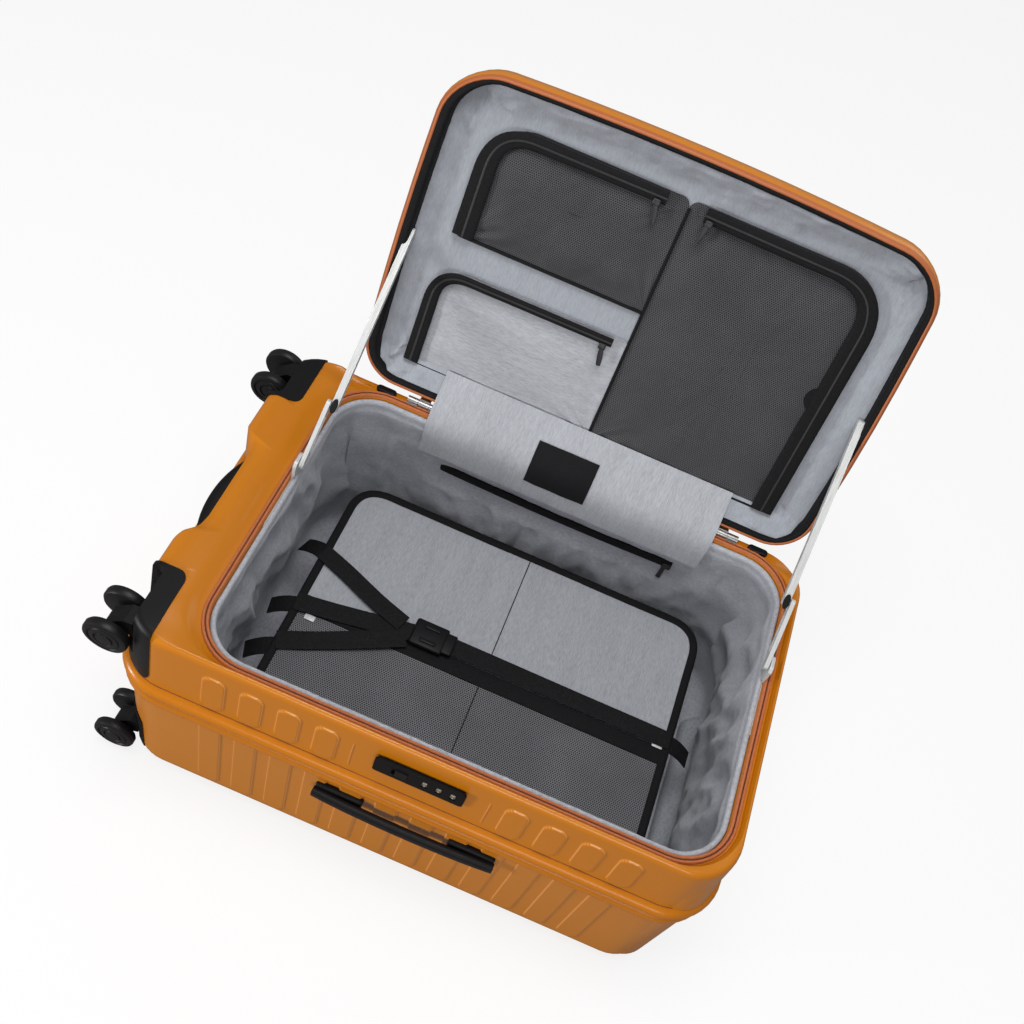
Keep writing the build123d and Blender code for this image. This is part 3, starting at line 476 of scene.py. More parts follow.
def finish(name, effect_name, cells, values, bump, shader, lid=False, weave=None):
    """A material on object coordinates: cells are the pattern's steps along X, Y and Z in metres."""
    material = bpy.data.materials.new(name)
    material.use_nodes = True
    tree = material.node_tree
    principled = tree.nodes["Principled BSDF"]
    coordinates = add_node(tree, "ShaderNodeTexCoord").outputs["Object"]
    effect = add_node(tree, "ShaderNodeGroup", values, node_tree=effect_group(effect_name))
    first = "Threads" if weave else "Vector"
    for key, steps in ((first, cells), ("Weave", weave)):
        if steps:
            inputs = {"Vector": coordinates, "Scale": steps}
            if lid:
                inputs.update({"Location": HINGE, "Rotation": (LID_LEAN, 0.0, 0.0)})
            mapping = add_node(tree, "ShaderNodeMapping", inputs, vector_type="TEXTURE")
            tree.links.new(mapping.outputs["Vector"], effect.inputs[key])
    height = {"Strength": bump[0], "Distance": bump[1], "Height": effect.outputs["Height"]}
    normal = add_node(tree, "ShaderNodeBump", height).outputs["Normal"]
    tree.links.new(effect.outputs["Colour"], principled.inputs["Base Color"])
    tree.links.new(effect.outputs["Roughness"], principled.inputs["Roughness"])
    tree.links.new(normal, principled.inputs["Normal"])
    for key, value in shader.items():
        principled.inputs[key].default_value = value
    MATERIALS[name] = material
    return material


def rgb(colour, gain=1.0):
    return (colour[0] * gain, colour[1] * gain, colour[2] * gain, 1.0)


def plastic(
    name, colour, gloss=0.45, grain=900.0, drift=0.35, spread=0.08, bump=(0.15, 0.0002), specular=None,
    coat=None,
):
    """Moulded plastic; coat is the clear layer's weight and roughness."""
    values = {"Colour": rgb(colour), "Shade": rgb(colour, 0.72), "Drift": drift, "Grain Size": grain}
    values.update({"Gloss": gloss, "Gloss Spread": spread})
    shader = {} if specular is None else {"Specular IOR Level": specular}
    if coat:
        shader["Coat Weight"], shader["Coat Roughness"] = coat
    return finish(name, "Moulded Surface", (1.0, 1.0, 1.0), values, bump, shader)


def cloth(name, light, dark, cells, contrast, lid=False):
    """Heathered cloth: cells are the length of its threads along X, Y and Z."""
    values = {"Light": rgb(light), "Dark": rgb(dark), "Contrast": contrast}
    shader = {"Sheen Weight": 0.25, "Sheen Roughness": 0.5, "Specular IOR Level": 0.25}
    return finish(name, "Heathered Cloth", cells, values, (0.35, 0.0006), shader, lid, (0.0011,) * 3)


def net(name, yarn, hole, cell, lid=False):
    values = {"Yarn": rgb(yarn), "Hole": rgb(hole)}
    shader = {"Specular IOR Level": 0.3, "Sheen Weight": 0.15}
    return finish(name, "Knitted Net", (cell, cell, cell), values, (0.6, 0.0008), shader, lid)


def tape(name, colour, fleck, cell=0.0016, lid=False):
    values = {"Colour": rgb(colour), "Fleck": rgb(fleck)}
    shader = {"Specular IOR Level": 0.18}
    return finish(name, "Ribbed Tape", (cell, cell, cell), values, (0.5, 0.0005), shader, lid)


def metal(name, colour, cells, gloss=0.35, metallic=1.0, lid=False):
    values = {"Colour": rgb(colour), "Shade": rgb(colour, 0.75), "Gloss": gloss}
    shader = {"Metallic": metallic}
    return finish(name, "Drawn Metal", cells, values, (0.08, 0.0002), shader, lid)


def paint_rib_highlight(material):
    """Lighten the colour along the rims of the ribs: a painted highlight where the rib edges catch the light.
    """
    tree = material.node_tree
    base = tree.nodes["Principled BSDF"].inputs["Base Color"]
    colour = base.links[0].from_socket
    rim = add_node(tree, "ShaderNodeAttribute", attribute_name="rib_edge")
    share = ramp_between(tree, rim.outputs["Fac"], 0.15, 1.0, 0.0, 0.42)
    tree.links.new(blend_colour(tree, share, colour, (0.95, 0.50, 0.22, 1.0)), base)


# ---------------------------------------------------------------- settings


def colour_setting(name, description, default):
    return FloatVectorProperty(name=name, description=description, subtype="COLOR", size=3, default=default)


def length_setting(name, description, default):
    return FloatProperty(name=name, description=description, unit="LENGTH", default=default)


class ShellSettings(PropertyGroup):
    orange: colour_setting("Shell Colour", "Colour of the moulded shells", (0.565, 0.190, 0.008))
    rim: colour_setting("Rim Colour", "Colour of the trim along the lid's rim", (0.42, 0.115, 0.030))
    rib_proud: length_setting("Rib Height", "How far the ribs stand out of the shell", 0.0021)


class ClothSettings(PropertyGroup):
    light: colour_setting("Pale Thread", "Pale threads of the heathered lining", (0.50, 0.515, 0.55))
    dark: colour_setting("Dark Thread", "Dark threads of the heathered lining", (0.23, 0.24, 0.265))
    crease: length_setting("Crease Depth", "Depth of the creases in the lining", 0.006)


class FittingSettings(PropertyGroup):
    black: colour_setting("Black Plastic", "Colour of handles and guards", (0.0055, 0.0055, 0.0065))
    webbing: length_setting("Webbing Thickness", "Thickness of the packing straps", 0.0016)


def place(piece, body, slot, *nodes):
    """Fix a piece to a body and hide the nodes it stands for; the slot is not used."""
    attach(piece, body)
    if nodes:
        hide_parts(*nodes)
    return piece


def add_piece(bm, name, material, body, slot, *nodes, **options):
    """Turn a bmesh into a piece of the case and place it; options are those of finish_mesh."""
    return place(finish_mesh(bm, name, material, **options), body, slot, *nodes)


# ---------------------------------------------------------------- shells

LONG_HALF = HALF_X - CORNER
SHORT_HALF = HALF_Y - CORNER
RIB_PLACES = [RIB_PITCH * i - 0.230 for i in range(12)]
END_RIB_PLACES = [RIB_PITCH * (i - 3) for i in range(7)]
# Where a side is divided across a rib, crowded at the rib's flanks, and once halfway to the next rib.
FLANK_STOPS = (0.005, 0.0085, 0.0112, 0.0120, 0.0130, 0.0140, 0.0148)
RIB_STOPS = (*(-stop for stop in FLANK_STOPS), 0.0, *FLANK_STOPS, RIB_PITCH / 2)
# The ribs' lowest and highest points on the near, far and carry-end sides.
REAR_RIBS = ((0.032, 0.2165), (0.032, 0.2165), (0.072, 0.2165))
FRAME_RIBS = ((0.242, 0.304), (0.242, 0.296), (0.242, 0.296))
LOCK_SPAN = (-0.071, 0.084)
FLOOR_ROUND = 0.030
SHOULDER = 0.315


def rib_runs(places, half):
    """Where a side is divided, as fractions of its straight length."""
    stops = sorted({round((place + stop + half) / (2 * half), 5) for place in places for stop in RIB_STOPS})
    return tuple(stop for stop in stops if 0.004 < stop < 0.996)


SHELL_RUNS = (rib_runs(RIB_PLACES, LONG_HALF), rib_runs(END_RIB_PLACES, SHORT_HALF))


def rib_swell(along, height, places, low, high):
    """How far into a rib a point lies, from 0 to 1, for ribs with rounded corners."""
    nearest = min(places, key=lambda place: abs(along - place))
    middle, half = (low + high) / 2, (high - low) / 2
    dx = abs(along - nearest) - (RIB_HALF - RIB_ROUND)
    dz = abs(height - middle) - (half - RIB_ROUND)
    distance = math.hypot(max(dx, 0.0), max(dz, 0.0)) + min(max(dx, dz), 0.0) - RIB_ROUND
    return 1.0 - ease(-0.0009, 0.0010, distance)


def rib_share(point, near, far, end, skip=None):
    """How far into a rib of the near, far or carry-end side a point lies, and the axis that rib faces."""
    if abs(point.x) < LONG_HALF + 0.001 and abs(point.y) > SHORT_HALF + 0.02:
        limits, along = (near, point.x) if point.y < 0 else (far, -point.x)
        if not (skip and point.y < 0 and skip[0] < along < skip[1]):
            return rib_swell(along, point.z, RIB_PLACES, *limits), 1
    elif point.x > LONG_HALF and abs(point.y) < SHORT_HALF + 0.001:
        return rib_swell(point.y, point.z, END_RIB_PLACES, *end), 0
    return 0.0, 0


def mark_rib_edges(piece, ribs, skip=None):
    """Store how close every vertex lies to the rim of a rib, for the painted highlight along the rib edges.
    """
    layer = piece.data.attributes.new("rib_edge", "FLOAT", "POINT")
    shares = [rib_share(vertex.co, *ribs, skip)[0] for vertex in piece.data.vertices]
    layer.data.foreach_set("value", [4.0 * share * (1.0 - share) for share in shares])


def ribbed_rows(heights, start, slope, proud, ribs, skip=None):
    """Rows up the sides at heights in millimetres, drawn in from a start height, with the ribs swelled."""
    rows = []
    for height in heights:
        z = height * MM
        row = inset_outline((z - start) * slope, z, SHELL_RUNS)
        for point in row:
            share, axis = rib_share(point, *ribs, skip)
            point[axis] += math.copysign(proud * share, point[axis])
        rows.append(row)
    return rows


def wheel_rooms(low, high):
    """The two corners cleared for the casters, between two heights."""
    return [((-0.40, y0, low), (-0.326, y1, high)) for y0, y1 in ((-0.26, -0.134), (0.134, 0.26))]


def rear_shell(settings):
    """The deep shell: a rounded floor, ribbed sides and a smooth inside."""
    rows = []
    for step in range(8):
        t = math.radians(90.0 * step / 7)
        z = FLOOR_ROUND - FLOOR_ROUND * math.cos(t)
        inset = (SPLIT - z) * REAR_DRAFT + FLOOR_ROUND - FLOOR_ROUND * math.sin(t)
        rows.append(inset_outline(inset, z, SHELL_RUNS))
    heights = (
        31, 32, 33, 34, 36, 38, 41, 45, 60, 90, 130, 170, 193, 197, 200, 202, 204, 205, 206, 207, 209,
        214, 222,
    )
    rows += ribbed_rows(heights, SPLIT, -REAR_DRAFT, settings.rib_proud, REAR_RIBS)
    for z, inset in ((SPLIT, WALL), (0.034, WALL + 0.005), (0.014, 0.016), (WALL + 0.0005, 0.034)):
        x0, x1, y = -0.318 + max(inset - 0.012, 0), HALF_X - inset, HALF_Y - inset
        rows.append(outline(x0, x1, -y, y, max(0.045 - inset, 0.012), z, SHELL_RUNS))
    piece = finish_mesh(loft(rows), "rear_shell_skin", "Orange Polycarbonate", smooth=50)
    cut(piece, *wheel_rooms(-0.01, 0.100), radius=0.008)
    cut(piece, ((0.312, -0.112, 0.003), (0.40, 0.112, 0.044)), radius=0.003)
    mark_rib_edges(piece, REAR_RIBS)
    return place(piece, "case", "orange_shell", "rear_shell")


def front_frame(settings):
    """The shallow frame above the bead: ribbed sides, a rounded shoulder and a crest round the mouth."""
    heights = (
        234, 238, 241, 242, 243, 244, 246, 249, 253, 260, 275, 290, 294, 296, 298, 300, 302, 303, 304,
        305, 309, SHOULDER / MM,
    )
    rows = ribbed_rows(heights, FRAME_BASE, FRAME_DRAFT, settings.rib_proud, FRAME_RIBS, LOCK_SPAN)
    inset = (SHOULDER - FRAME_BASE) * FRAME_DRAFT
    for step in range(1, 9):
        t = math.radians(90.0 * step / 8)
        share, z = 1.0 - math.cos(t), mix(SHOULDER, CROWN, math.sin(t))
        x0, x1 = mix(inset - HALF_X, -0.3290, share), mix(HALF_X - inset, 0.3412, share)
        y = mix(HALF_Y - inset, 0.2146, share)
        rows.append(outline(x0, x1, -y, y, CORNER - inset, z, SHELL_RUNS))
    crest = (
        (-0.300, 0.3402, -0.2137, 0.2137, 0.066, 0.3296),
        (-0.290, 0.3390, -0.2128, 0.2122, 0.068, 0.3255),
        (-0.284, 0.3380, -0.2122, 0.2110, 0.069, 0.3212),
        (-0.2795, 0.3372, -0.2116, 0.2100, 0.068, 0.3200),
        (-0.2702, 0.3282, -0.2047, 0.2047, 0.0595, 0.3200),
        (-0.2690, 0.3270, -0.2035, 0.2035, 0.0585, 0.3196),
        (-0.2685, 0.3265, -0.2030, 0.2030, 0.0580, 0.3188),
        (-0.2685, 0.3265, -0.2030, 0.2030, 0.0580, 0.3003),
        (-0.2710, 0.3290, -0.2055, 0.2055, 0.0480, 0.3003),
        (-0.2710, 0.3290, -0.2055, 0.2055, 0.0480, 0.3160),
        (-0.3180, 0.3400, -0.2155, 0.2155, 0.0400, 0.3160),
        (-0.3180, 0.3476, -0.2226, 0.2226, 0.0400, FRAME_BASE),
    )
    for *plan, z in crest:
        rows.append(outline(*plan, z, SHELL_RUNS))
    for point in (point for row in rows for point in row):
        open_far = ease(0.188, 0.206, point.y) * between(point.x, -0.281, 0.339, 0.005)
        point.z = min(point.z, mix(CROWN, RIM, open_far))
        if point.z > SHOULDER:
            lower = SHOULDER + (point.z - SHOULDER) * 0.82
            point.z = mix(point.z, lower, ease(-0.170, -0.205, point.y))
    piece = finish_mesh(loft(rows, ring=True), "front_frame_skin", "Orange Frame", smooth=50)
    cut(piece, *wheel_rooms(0.250, 0.36), radius=0.008)
    low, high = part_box("lock_housing")
    room = (low.x + 0.003, -0.240, low.z + 0.003), (high.x - 0.003, -0.2165, high.z - 0.003)
    cut(piece, room, radius=0.002)
    carve(piece, notch_cutter())
    mark_rib_edges(piece, FRAME_RIBS, LOCK_SPAN)
    return place(piece, "case", "orange_shell", "front_frame")


def notch_cutter():
    """The soft-shouldered space for the grab handle in the wheel end."""
    middle, half = -0.0075, 0.0805
    side = (
        (-0.400, 0.030), (-0.3560, 0.0245), (-0.3500, 0.0190), (-0.3440, 0.0090), (-0.3380, -0.0010),
        (-0.3310, -0.0070), (-0.3250, -0.0150), (-0.3222, -0.0300),
    )
    near, far = (
        smooth_path([Vector((x, middle + way * (half + spread), 0.0)) for x, spread in side], 5)
        for way in (-1, 1)
    )
    rows = [[Vector((point.x, point.y, z)) for point in near + far[::-1]] for z in (0.250, 0.36)]
    return finish_mesh(loft(rows), "notch_cutter", "Orange Frame")


def zip_bead():
    """The zipped expansion band between the shells, with a fine groove at each edge and at its middle, each
    lined with a thin dark amber ring as painted shade.
    """
    profile = (
        (195.6, 3.0), (195.9, -1.4), (197.0, -3.8), (199.0, -5.4), (201.8, -6.2), (205.4, -6.4),
        (209.0, -6.0), (211.8, -4.9), (213.6, -3.2), (214.8, -1.6), (216.4, -1.6), (217.4, -3.4),
        (218.8, -5.8), (221.0, -7.4), (224.4, -8.2), (228.4, -8.0), (231.8, -6.8), (234.2, -4.8),
        (235.8, -2.4), (236.8, -0.4), (237.4, 1.0), (237.4, 5.0), (195.6, 5.0),
    )
    rows = [inset_outline(inset * MM, height * MM) for height, inset in profile]
    add_piece(
        loft(rows, ring=True), "zip_bead_ring", "Orange Bead", "case", "orange_bead", "expansion_bead"
    )
    # Thin dark amber rings in the grooves: painted shade, darker than the shell where the grooves fall into
    # shadow.
    groove_shade = bmesh.new()
    for height, inset in ((195.7, 0.4), (215.6, -1.5), (237.5, 0.35)):
        path = inset_outline(inset * MM, height * MM)
        sweep(groove_shade, path, 0.0015, 0.0014, UP, closed=True, sides=8, power=1.0)
    add_piece(groove_shade, "bead_groove_shade", "Painted Groove Shade", "case", "orange_bead")


def opening_ring(profile, base=(-0.2685, 0.3265, 0.203, 0.058)):
    """Rows that follow the opening at offsets outwards, given as (offset, height) pairs in millimetres."""
    x0, x1, y, radius = base
    rows = []
    for offset, height in profile:
        out = offset * MM
        plan = (x0 - out, x1 + out, -y - out, y + out, radius + out)
        rows.append(outline(*plan, height * MM, ((0.25, 0.5, 0.75), (0.5,))))
    return rows


def mouth_tape():
    """The zip round the mouth: a tape with a trough along its middle, and the teeth in the trough."""
    tape_profile = (
        (0.2, 319.9), (0.4, 322.0), (1.2, 323.1), (2.6, 323.3), (3.5, 322.6), (3.9, 321.6), (4.7, 321.6),
        (5.1, 322.6), (6.0, 323.3), (7.3, 323.1), (8.2, 322.0), (8.5, 319.9),
    )
    tape_bm = loft(opening_ring(tape_profile), ring=True)
    add_piece(tape_bm, "mouth_zip_tape", "Salmon Tape", "case", "salmon_tape", "body_zip_ring")
    teeth_profile = ((3.7, 321.7), (3.9, 322.6), (4.3, 322.9), (4.7, 322.6), (4.9, 321.7))
    teeth_bm = loft(opening_ring(teeth_profile), ring=True)
    add_piece(teeth_bm, "mouth_zip_teeth", "Dark Webbing", "case", "black_trim")


# ---------------------------------------------------------------- lid

LID_RUNS = ((0.1, 0.2, 0.3, 0.4, 0.5, 0.6, 0.7, 0.8, 0.9), (0.15, 0.3, 0.5, 0.7, 0.85))
LID_DEPTH = 0.043
LID_ROUND = 0.016
# The broad ribs along the lid's crown: their middles, half widths at foot and top, and their ends.
CROWN_RIBS = [-0.2125 + 0.062 * (index - 2) for index in range(5)]
CROWN_RIB_FOOT, CROWN_RIB_TOP = 0.019, 0.0175
CROWN_RIB_ENDS = ((-0.234, -0.2325), (0.2905, 0.292))
HAIR = 0.0001


def lid_outline(inset, depth, runs=LID_RUNS):
    """The lid's plan pulled in by an inset: its sides bow out a little between rounder far corners."""
    x = LID_HALF_X - inset
    hinge_corner = max(LID_CORNER - 0.010 - inset, 0.003)
    far_corner = max(LID_CORNER + 0.004 - inset, 0.003)
    radii = (far_corner, far_corner, hinge_corner, hinge_corner)
    row = outline(MOUTH_X - x, MOUTH_X + x, -LID_FRONT + inset, -LID_BACK - inset, radii, depth, runs)
    for point in row:
        across = (point.x - MOUTH_X) / LID_HALF_X
        out = -point.y / LID_FRONT
        squeeze = 0.024 * ((out - 0.42) / 0.58) ** 2 + (0.012 * ease(0.3, 1.0, out) if across > 0 else 0.0)
        point.x = MOUTH_X + (point.x - MOUTH_X) * (1.0 - squeeze)
        point.y *= 1.0 - 0.026 * across * across * out * out
    return row


def score_crown(bm, marks, axis):
    """Divide the flat crown of the lid at marks along an axis."""
    for mark in marks:
        faces = [face for face in bm.faces if face.calc_center_median().z > LID_DEPTH - 2 * HAIR]
        edges = list(dict.fromkeys(edge for face in faces for edge in face.edges))
        verts = list(dict.fromkeys(vert for face in faces for vert in face.verts))
        bmesh.ops.bisect_plane(
            bm, geom=faces + edges + verts, plane_co=axis * mark, plane_no=axis, dist=1e-6
        )


def raise_crown_ribs(bm, proud):
    """Stand the broad ribs up from the flat crown of the lid."""
    sides = (-CROWN_RIB_FOOT, -CROWN_RIB_TOP, CROWN_RIB_TOP, CROWN_RIB_FOOT)
    score_crown(bm, [middle + side for middle in CROWN_RIBS for side in sides], Vector((0, 1, 0)))
    score_crown(bm, [end for ends in CROWN_RIB_ENDS for end in ends], Vector((1, 0, 0)))
    left, right = CROWN_RIB_ENDS[0][1] - HAIR, CROWN_RIB_ENDS[1][0] + HAIR
    for vert in bm.verts:
        on_crown = vert.co.z >= LID_DEPTH - HAIR and left < vert.co.x < right
        if on_crown and any(abs(vert.co.y - middle) < CROWN_RIB_TOP + HAIR / 10 for middle in CROWN_RIBS):
            vert.co.z += proud


def lid_shell(settings):
    """The lid's skin, outside and inside, and the burnt trim along its rim."""
    slope = math.tan(math.radians(4.0))
    flare = (
        (-0.6, 5.4), (1.0, 4.2), (4.0, 2.4), (8.0, 0.8), (12.0, 0.2), (16.0, 0.4), (22.0, 1.2), (27.0, 1.9),
    )
    rows = [lid_outline(inset * MM, depth * MM) for depth, inset in flare]
    for step in range(1, 8):
        t = math.radians(90.0 * step / 7)
        depth = LID_DEPTH - LID_ROUND + LID_ROUND * math.sin(t)
        rows.append(lid_outline(depth * slope + LID_ROUND - LID_ROUND * math.cos(t), depth))
    bm = loft(rows, caps=False)
    crown_edges = [e for e in bm.edges if e.is_boundary and e.verts[0].co.z > 0.04]
    bmesh.ops.edgeloop_fill(bm, edges=crown_edges)
    raise_crown_ribs(bm, settings.rib_proud)
    edges = [e for e in bm.edges if e.is_boundary]
    order = loop_order(edges)
    for depth, inset in ((-1.2, 6.4), (3.0, 7.4), (12.0, 4.0), (30.0, 4.4), (36.0, 8.0), (40.4, 20.0)):
        row = match_row(order, lid_outline(inset * MM, depth * MM))
        order, edges = pull(bm, order, edges, row)
    bmesh.ops.edgeloop_fill(bm, edges=edges)
    add_piece(
        bm, "lid_skin", "Orange Polycarbonate", "lid", "orange_shell", "lid_shell", matrix=LID, smooth=50
    )
    profile = (
        (3.2, 2.4), (0.4, 3.6), (-1.2, 4.4), (-2.0, 5.4), (-2.1, 6.6), (-1.4, 7.6), (1.0, 7.8), (3.2, 4.0),
    )
    rows = [lid_outline(inset * MM, depth * MM) for depth, inset in profile]
    add_piece(loft(rows, ring=True), "lid_rim_trim", "Burnt Rim", "lid", "orange_shell", matrix=LID)


def loop_order(edges):
    """The points of a closed loop of edges, in order round it."""
    edge = edges[0]
    start = edge.verts[0]
    here = edge.other_vert(start)
    order, seen = [start], {edge}
    pool = set(edges)
    while here is not start:
        order.append(here)
        edge = next(e for e in here.link_edges if e in pool and e not in seen)
        seen.add(edge)
        here = edge.other_vert(here)
    return order


def match_row(order, row):
    """The points of a row in the order of a loop of vertices, each nearest its own vertex."""

    def gap(turned):
        return sum((point - vert.co).length for point, vert in zip(turned, order))

    start = min(range(len(row)), key=lambda index: (row[index] - order[0].co).length)
    ways = [[row[(start + way * k) % len(row)] for k in range(len(order))] for way in (1, -1)]
    return min(ways, key=gap)


def widen_wheel_side(row, most=0.0045):
    """Let the black gusset show more along the wheel side of the lid."""
    for point in row:
        point.x += most * ease(-0.20, -0.245, point.x)


def lid_gusset():
    profile = (
        (7.4, 0.4), (7.9, -0.9), (9.2, -1.4), (11.2, -0.9), (12.6, 0.6), (13.4, 3.0), (13.8, 21.0),
        (7.6, 21.0),
    )
    rows = [lid_outline(inset * MM, depth * MM) for inset, depth in profile]
    for row, (inset, _) in zip(rows, profile):
        if inset > 9.0:
            widen_wheel_side(row)
    add_piece(
        loft(rows, ring=True), "lid_zip_gusset", "Black Zip Tape", "lid", "black_trim", "lid_gusset",
        matrix=LID,
    )


def crumple(point, scale, amount, seed=0.0):
    """A ridged wobble like creased cloth, from minus to plus the amount."""
    p = Vector(point) * scale + Vector((seed, seed * 1.7, -seed))
    broad = noise.noise(p)
    ridge = 1.0 - 2.0 * abs(noise.noise(p * 2.1 + Vector((5.2, 1.3, 8.1))))
    fine = noise.noise(p * 4.7)
    return amount * (0.55 * broad + 0.35 * (ridge - 0.4) + 0.15 * fine)


def corner_rays(x, reach):
    """Creases that fan out from the pockets' corners into the rounded corners of the lid."""
    rays = 0.0
    for index, (cx, cv) in enumerate(((-0.170, 0.320), (0.228, 0.320), (-0.180, 0.075), (0.232, 0.075))):
        dx, dv = (x - cx) * math.copysign(1.0, cx - MOUTH_X), (reach - cv) * math.copysign(1.0, cv - 0.2)
        if dx > 0 and dv > 0:
            angle = math.atan2(dv, dx)
            ridge = 1.0 - 3.2 * abs(noise.noise(Vector((angle * 7.5, index * 4.7, 0.5))))
            rays += 0.0062 * ridge * math.sqrt(math.sin(2.0 * angle)) * ease(0.010, 0.045, math.hypot(dx, dv))
    return rays


def lid_lining_depth(x, reach, crease):
    """Depth of the lid's padded lining below the hinge plane at a place."""
    edge_x = LID_HALF_X - abs(x - MOUTH_X)
    edge_v = min(LID_FRONT - reach, reach - LID_BACK)
    floor, side, lip = 0.0215, 0.0185, 0.0035
    depth_v = mix(lip, floor, ease(0.012, 0.046, edge_v))
    depth_x = mix(side, floor, ease(0.024, 0.044, edge_x))
    depth = min(depth_v, depth_x)
    border = (1.0 - ease(0.036, 0.070, min(edge_v, edge_x))) * ease(0.012, 0.022, min(edge_v, edge_x))
    fold = (crumple((x, reach, 0.3), 38.0, 1.5 * crease) + corner_rays(x, reach)) * border
    pucker = noise.noise(Vector((x * 70, reach * 70, 2.0))) * 0.0012 * border
    limit = 0.35 if depth_x < depth_v else 1.0
    limit *= 1.0 - between(x, -0.170, 0.232, 0.02) * ease(0.075, 0.055, reach)
    limit *= 1.0 - between(x, -0.224, 0.281, 0.005) * between(reach, 0.034, 0.367, 0.005)
    return depth - (max(fold, -0.0025) + pucker) * limit


def lid_lining(settings):
    """The padded cloth that lines the lid, creased round its border and held flat by the pockets."""
    runs = (spaced(72), spaced(48))
    rows = [lid_outline(inset, 0.0262, runs) for inset in (0.19, 0.10, 0.032)]
    rows.append(lid_outline(0.0155, 0.024, runs))
    insets = (
        13.2, 13.8, 15, 17, 19, 21, 23, 25, 27, 29, 32, 35, 38, 41, 44, 48, 53, 60, 70, 85, 105, 130, 155,
        180, 195,
    )
    for inset in insets:
        row = lid_outline((inset + 0.8) * MM, 0.0, runs)
        if inset < 40:
            widen_wheel_side(row, 0.0045 * ease(40, 15, inset))
        for point in row:
            point.z = lid_lining_depth(point.x, -point.y, settings.crease)
        rows.append(row)
    piece = add_piece(
        loft(rows), "lid_padded_lining", "Heathered Lid Lining", "lid", "grey_lining", "lid_lining",
        matrix=LID, smooth=70,
    )
    return piece


# How far in from a pocket's edge its rows lie, as shares of half its shorter side.
POCKET_SHARES = (
    0.0, 0.01, 0.03, 0.05, 0.075, 0.1, 0.13, 0.16, 0.2, 0.24, 0.29, 0.34, 0.4, 0.46, 0.53, 0.6, 0.68,
    0.75, 0.83, 0.9,
)
GATHER_REACH = 0.085


def gathered_folds(x, reach, share, gathers, seed):
    """Folds that fan out from the places where a pocket is gathered."""
    folds = 0.0
    for index, (gather_x, gather_reach) in enumerate(gathers):
        dx, dv = x - gather_x, reach - gather_reach
        far = math.hypot(dx, dv)
        if far < GATHER_REACH:
            fan = noise.noise(Vector((math.atan2(dv, dx) * 5.0, index * 3.1, seed)))
            height = 0.0042 * fan * ease(GATHER_REACH, 0.012, far) * ease(0.0, 0.012, far)
            folds += height * ease(0.0, 0.05, share)
    return folds


def pocket(name, material, slot, node, x, reach, radii, puff, seed=1.0, fine=0.0006, gathers=()):
    """A flat pocket on the lid's lining that swells between its edges."""
    runs = (spaced(44), spaced(40))
    low, high = 0.0212, 0.0218
    span_x, span_y = x[1] - x[0], reach[1] - reach[0]
    limit = min(span_x, span_y) / 2

    def row(inset, depth):
        radius = tuple(max(r - inset, 0.002) for r in radii)
        plan = (x[0] + inset, x[1] - inset, -reach[1] + inset, -reach[0] - inset)
        return outline(*plan, radius, depth, runs)

    rows = [row(limit * 0.9, high), row(limit * 0.5, high), row(0.002, high), row(0.0, low)]
    for share in POCKET_SHARES:
        points = row(limit * share, 0.0)
        for point in points:
            across = min((point.x - x[0]) / span_x, (x[1] - point.x) / span_x)
            down = (-point.y - reach[0]) / span_y
            full = ease(0.0, 0.22, across) * ease(0.0, 0.25, down) * (1.0 - ease(0.62, 1.0, down))
            wrinkle = crumple((point.x, point.y, 0.1), 22.0, fine * 4, seed) * ease(0.0, 0.04, share)
            wrinkle += gathered_folds(point.x, -point.y, share, gathers, seed)
            point.z = min(low - 0.0015 - puff * full + wrinkle, low - 0.0010)
        rows.append(points)
    return add_piece(loft(rows), name, material, "lid", slot, node, matrix=LID, smooth=80)


def stay_rails():
    """Narrow channels inside the lid's short sides for the feet of the stays, solid black as painted shade
    for the shadow inside them.
    """
    bm = bmesh.new()
    for side in (-1, 1):
        x0, x1 = sorted((MOUTH_X + side * 0.2868, MOUTH_X + side * 0.2905))
        # Solid black boxes: painted shade standing in for the shadowed inside of each channel.
        rounded_box(bm, (x0, -0.326, 0.0050), (x1, -0.186, 0.0190), 0.0008, 2, LID)
    add_piece(bm, "stay_channels", "Black Zip Tape", "lid", "grey_plastic", "stay_rails")


def lid_path(points, radius, depth, steps=8):
    flat = corner_path([Vector((x, reach, 0.0)) for x, reach in points], radius, steps)
    return [lid_point(point.x, point.y, depth) for point in flat]


def lid_pockets():
    small = pocket(
        "small_net_pocket", "Grey Net Lid", "dark_mesh", "mesh_pocket_small",
        (-0.204, 0.0295), (0.217, 0.360), (0.055, 0.012, 0.006, 0.030), 0.0075, seed=2.0, fine=0.0008,
        gathers=((0.0295, 0.350), (0.0295, 0.217), (-0.204, 0.217)),
    )
    large = pocket(
        "large_net_pocket", "Grey Net Lid", "dark_mesh", "mesh_pocket_large",
        (0.0295, 0.273), (0.040, 0.360), (0.010, 0.062, 0.020, 0.010), 0.0095, seed=5.0, fine=0.0010,
        gathers=((0.0295, 0.352), (0.0295, 0.040), (0.268, 0.040)),
    )
    flat = pocket(
        "cloth_pocket", "Heathered Lid Pocket", "grey_lining", "fabric_pocket",
        (-0.215, 0.0295), (0.040, 0.176), (0.045, 0.006, 0.006, 0.006), 0.0030, seed=8.0, fine=0.0005,
        gathers=((0.0295, 0.040),),
    )


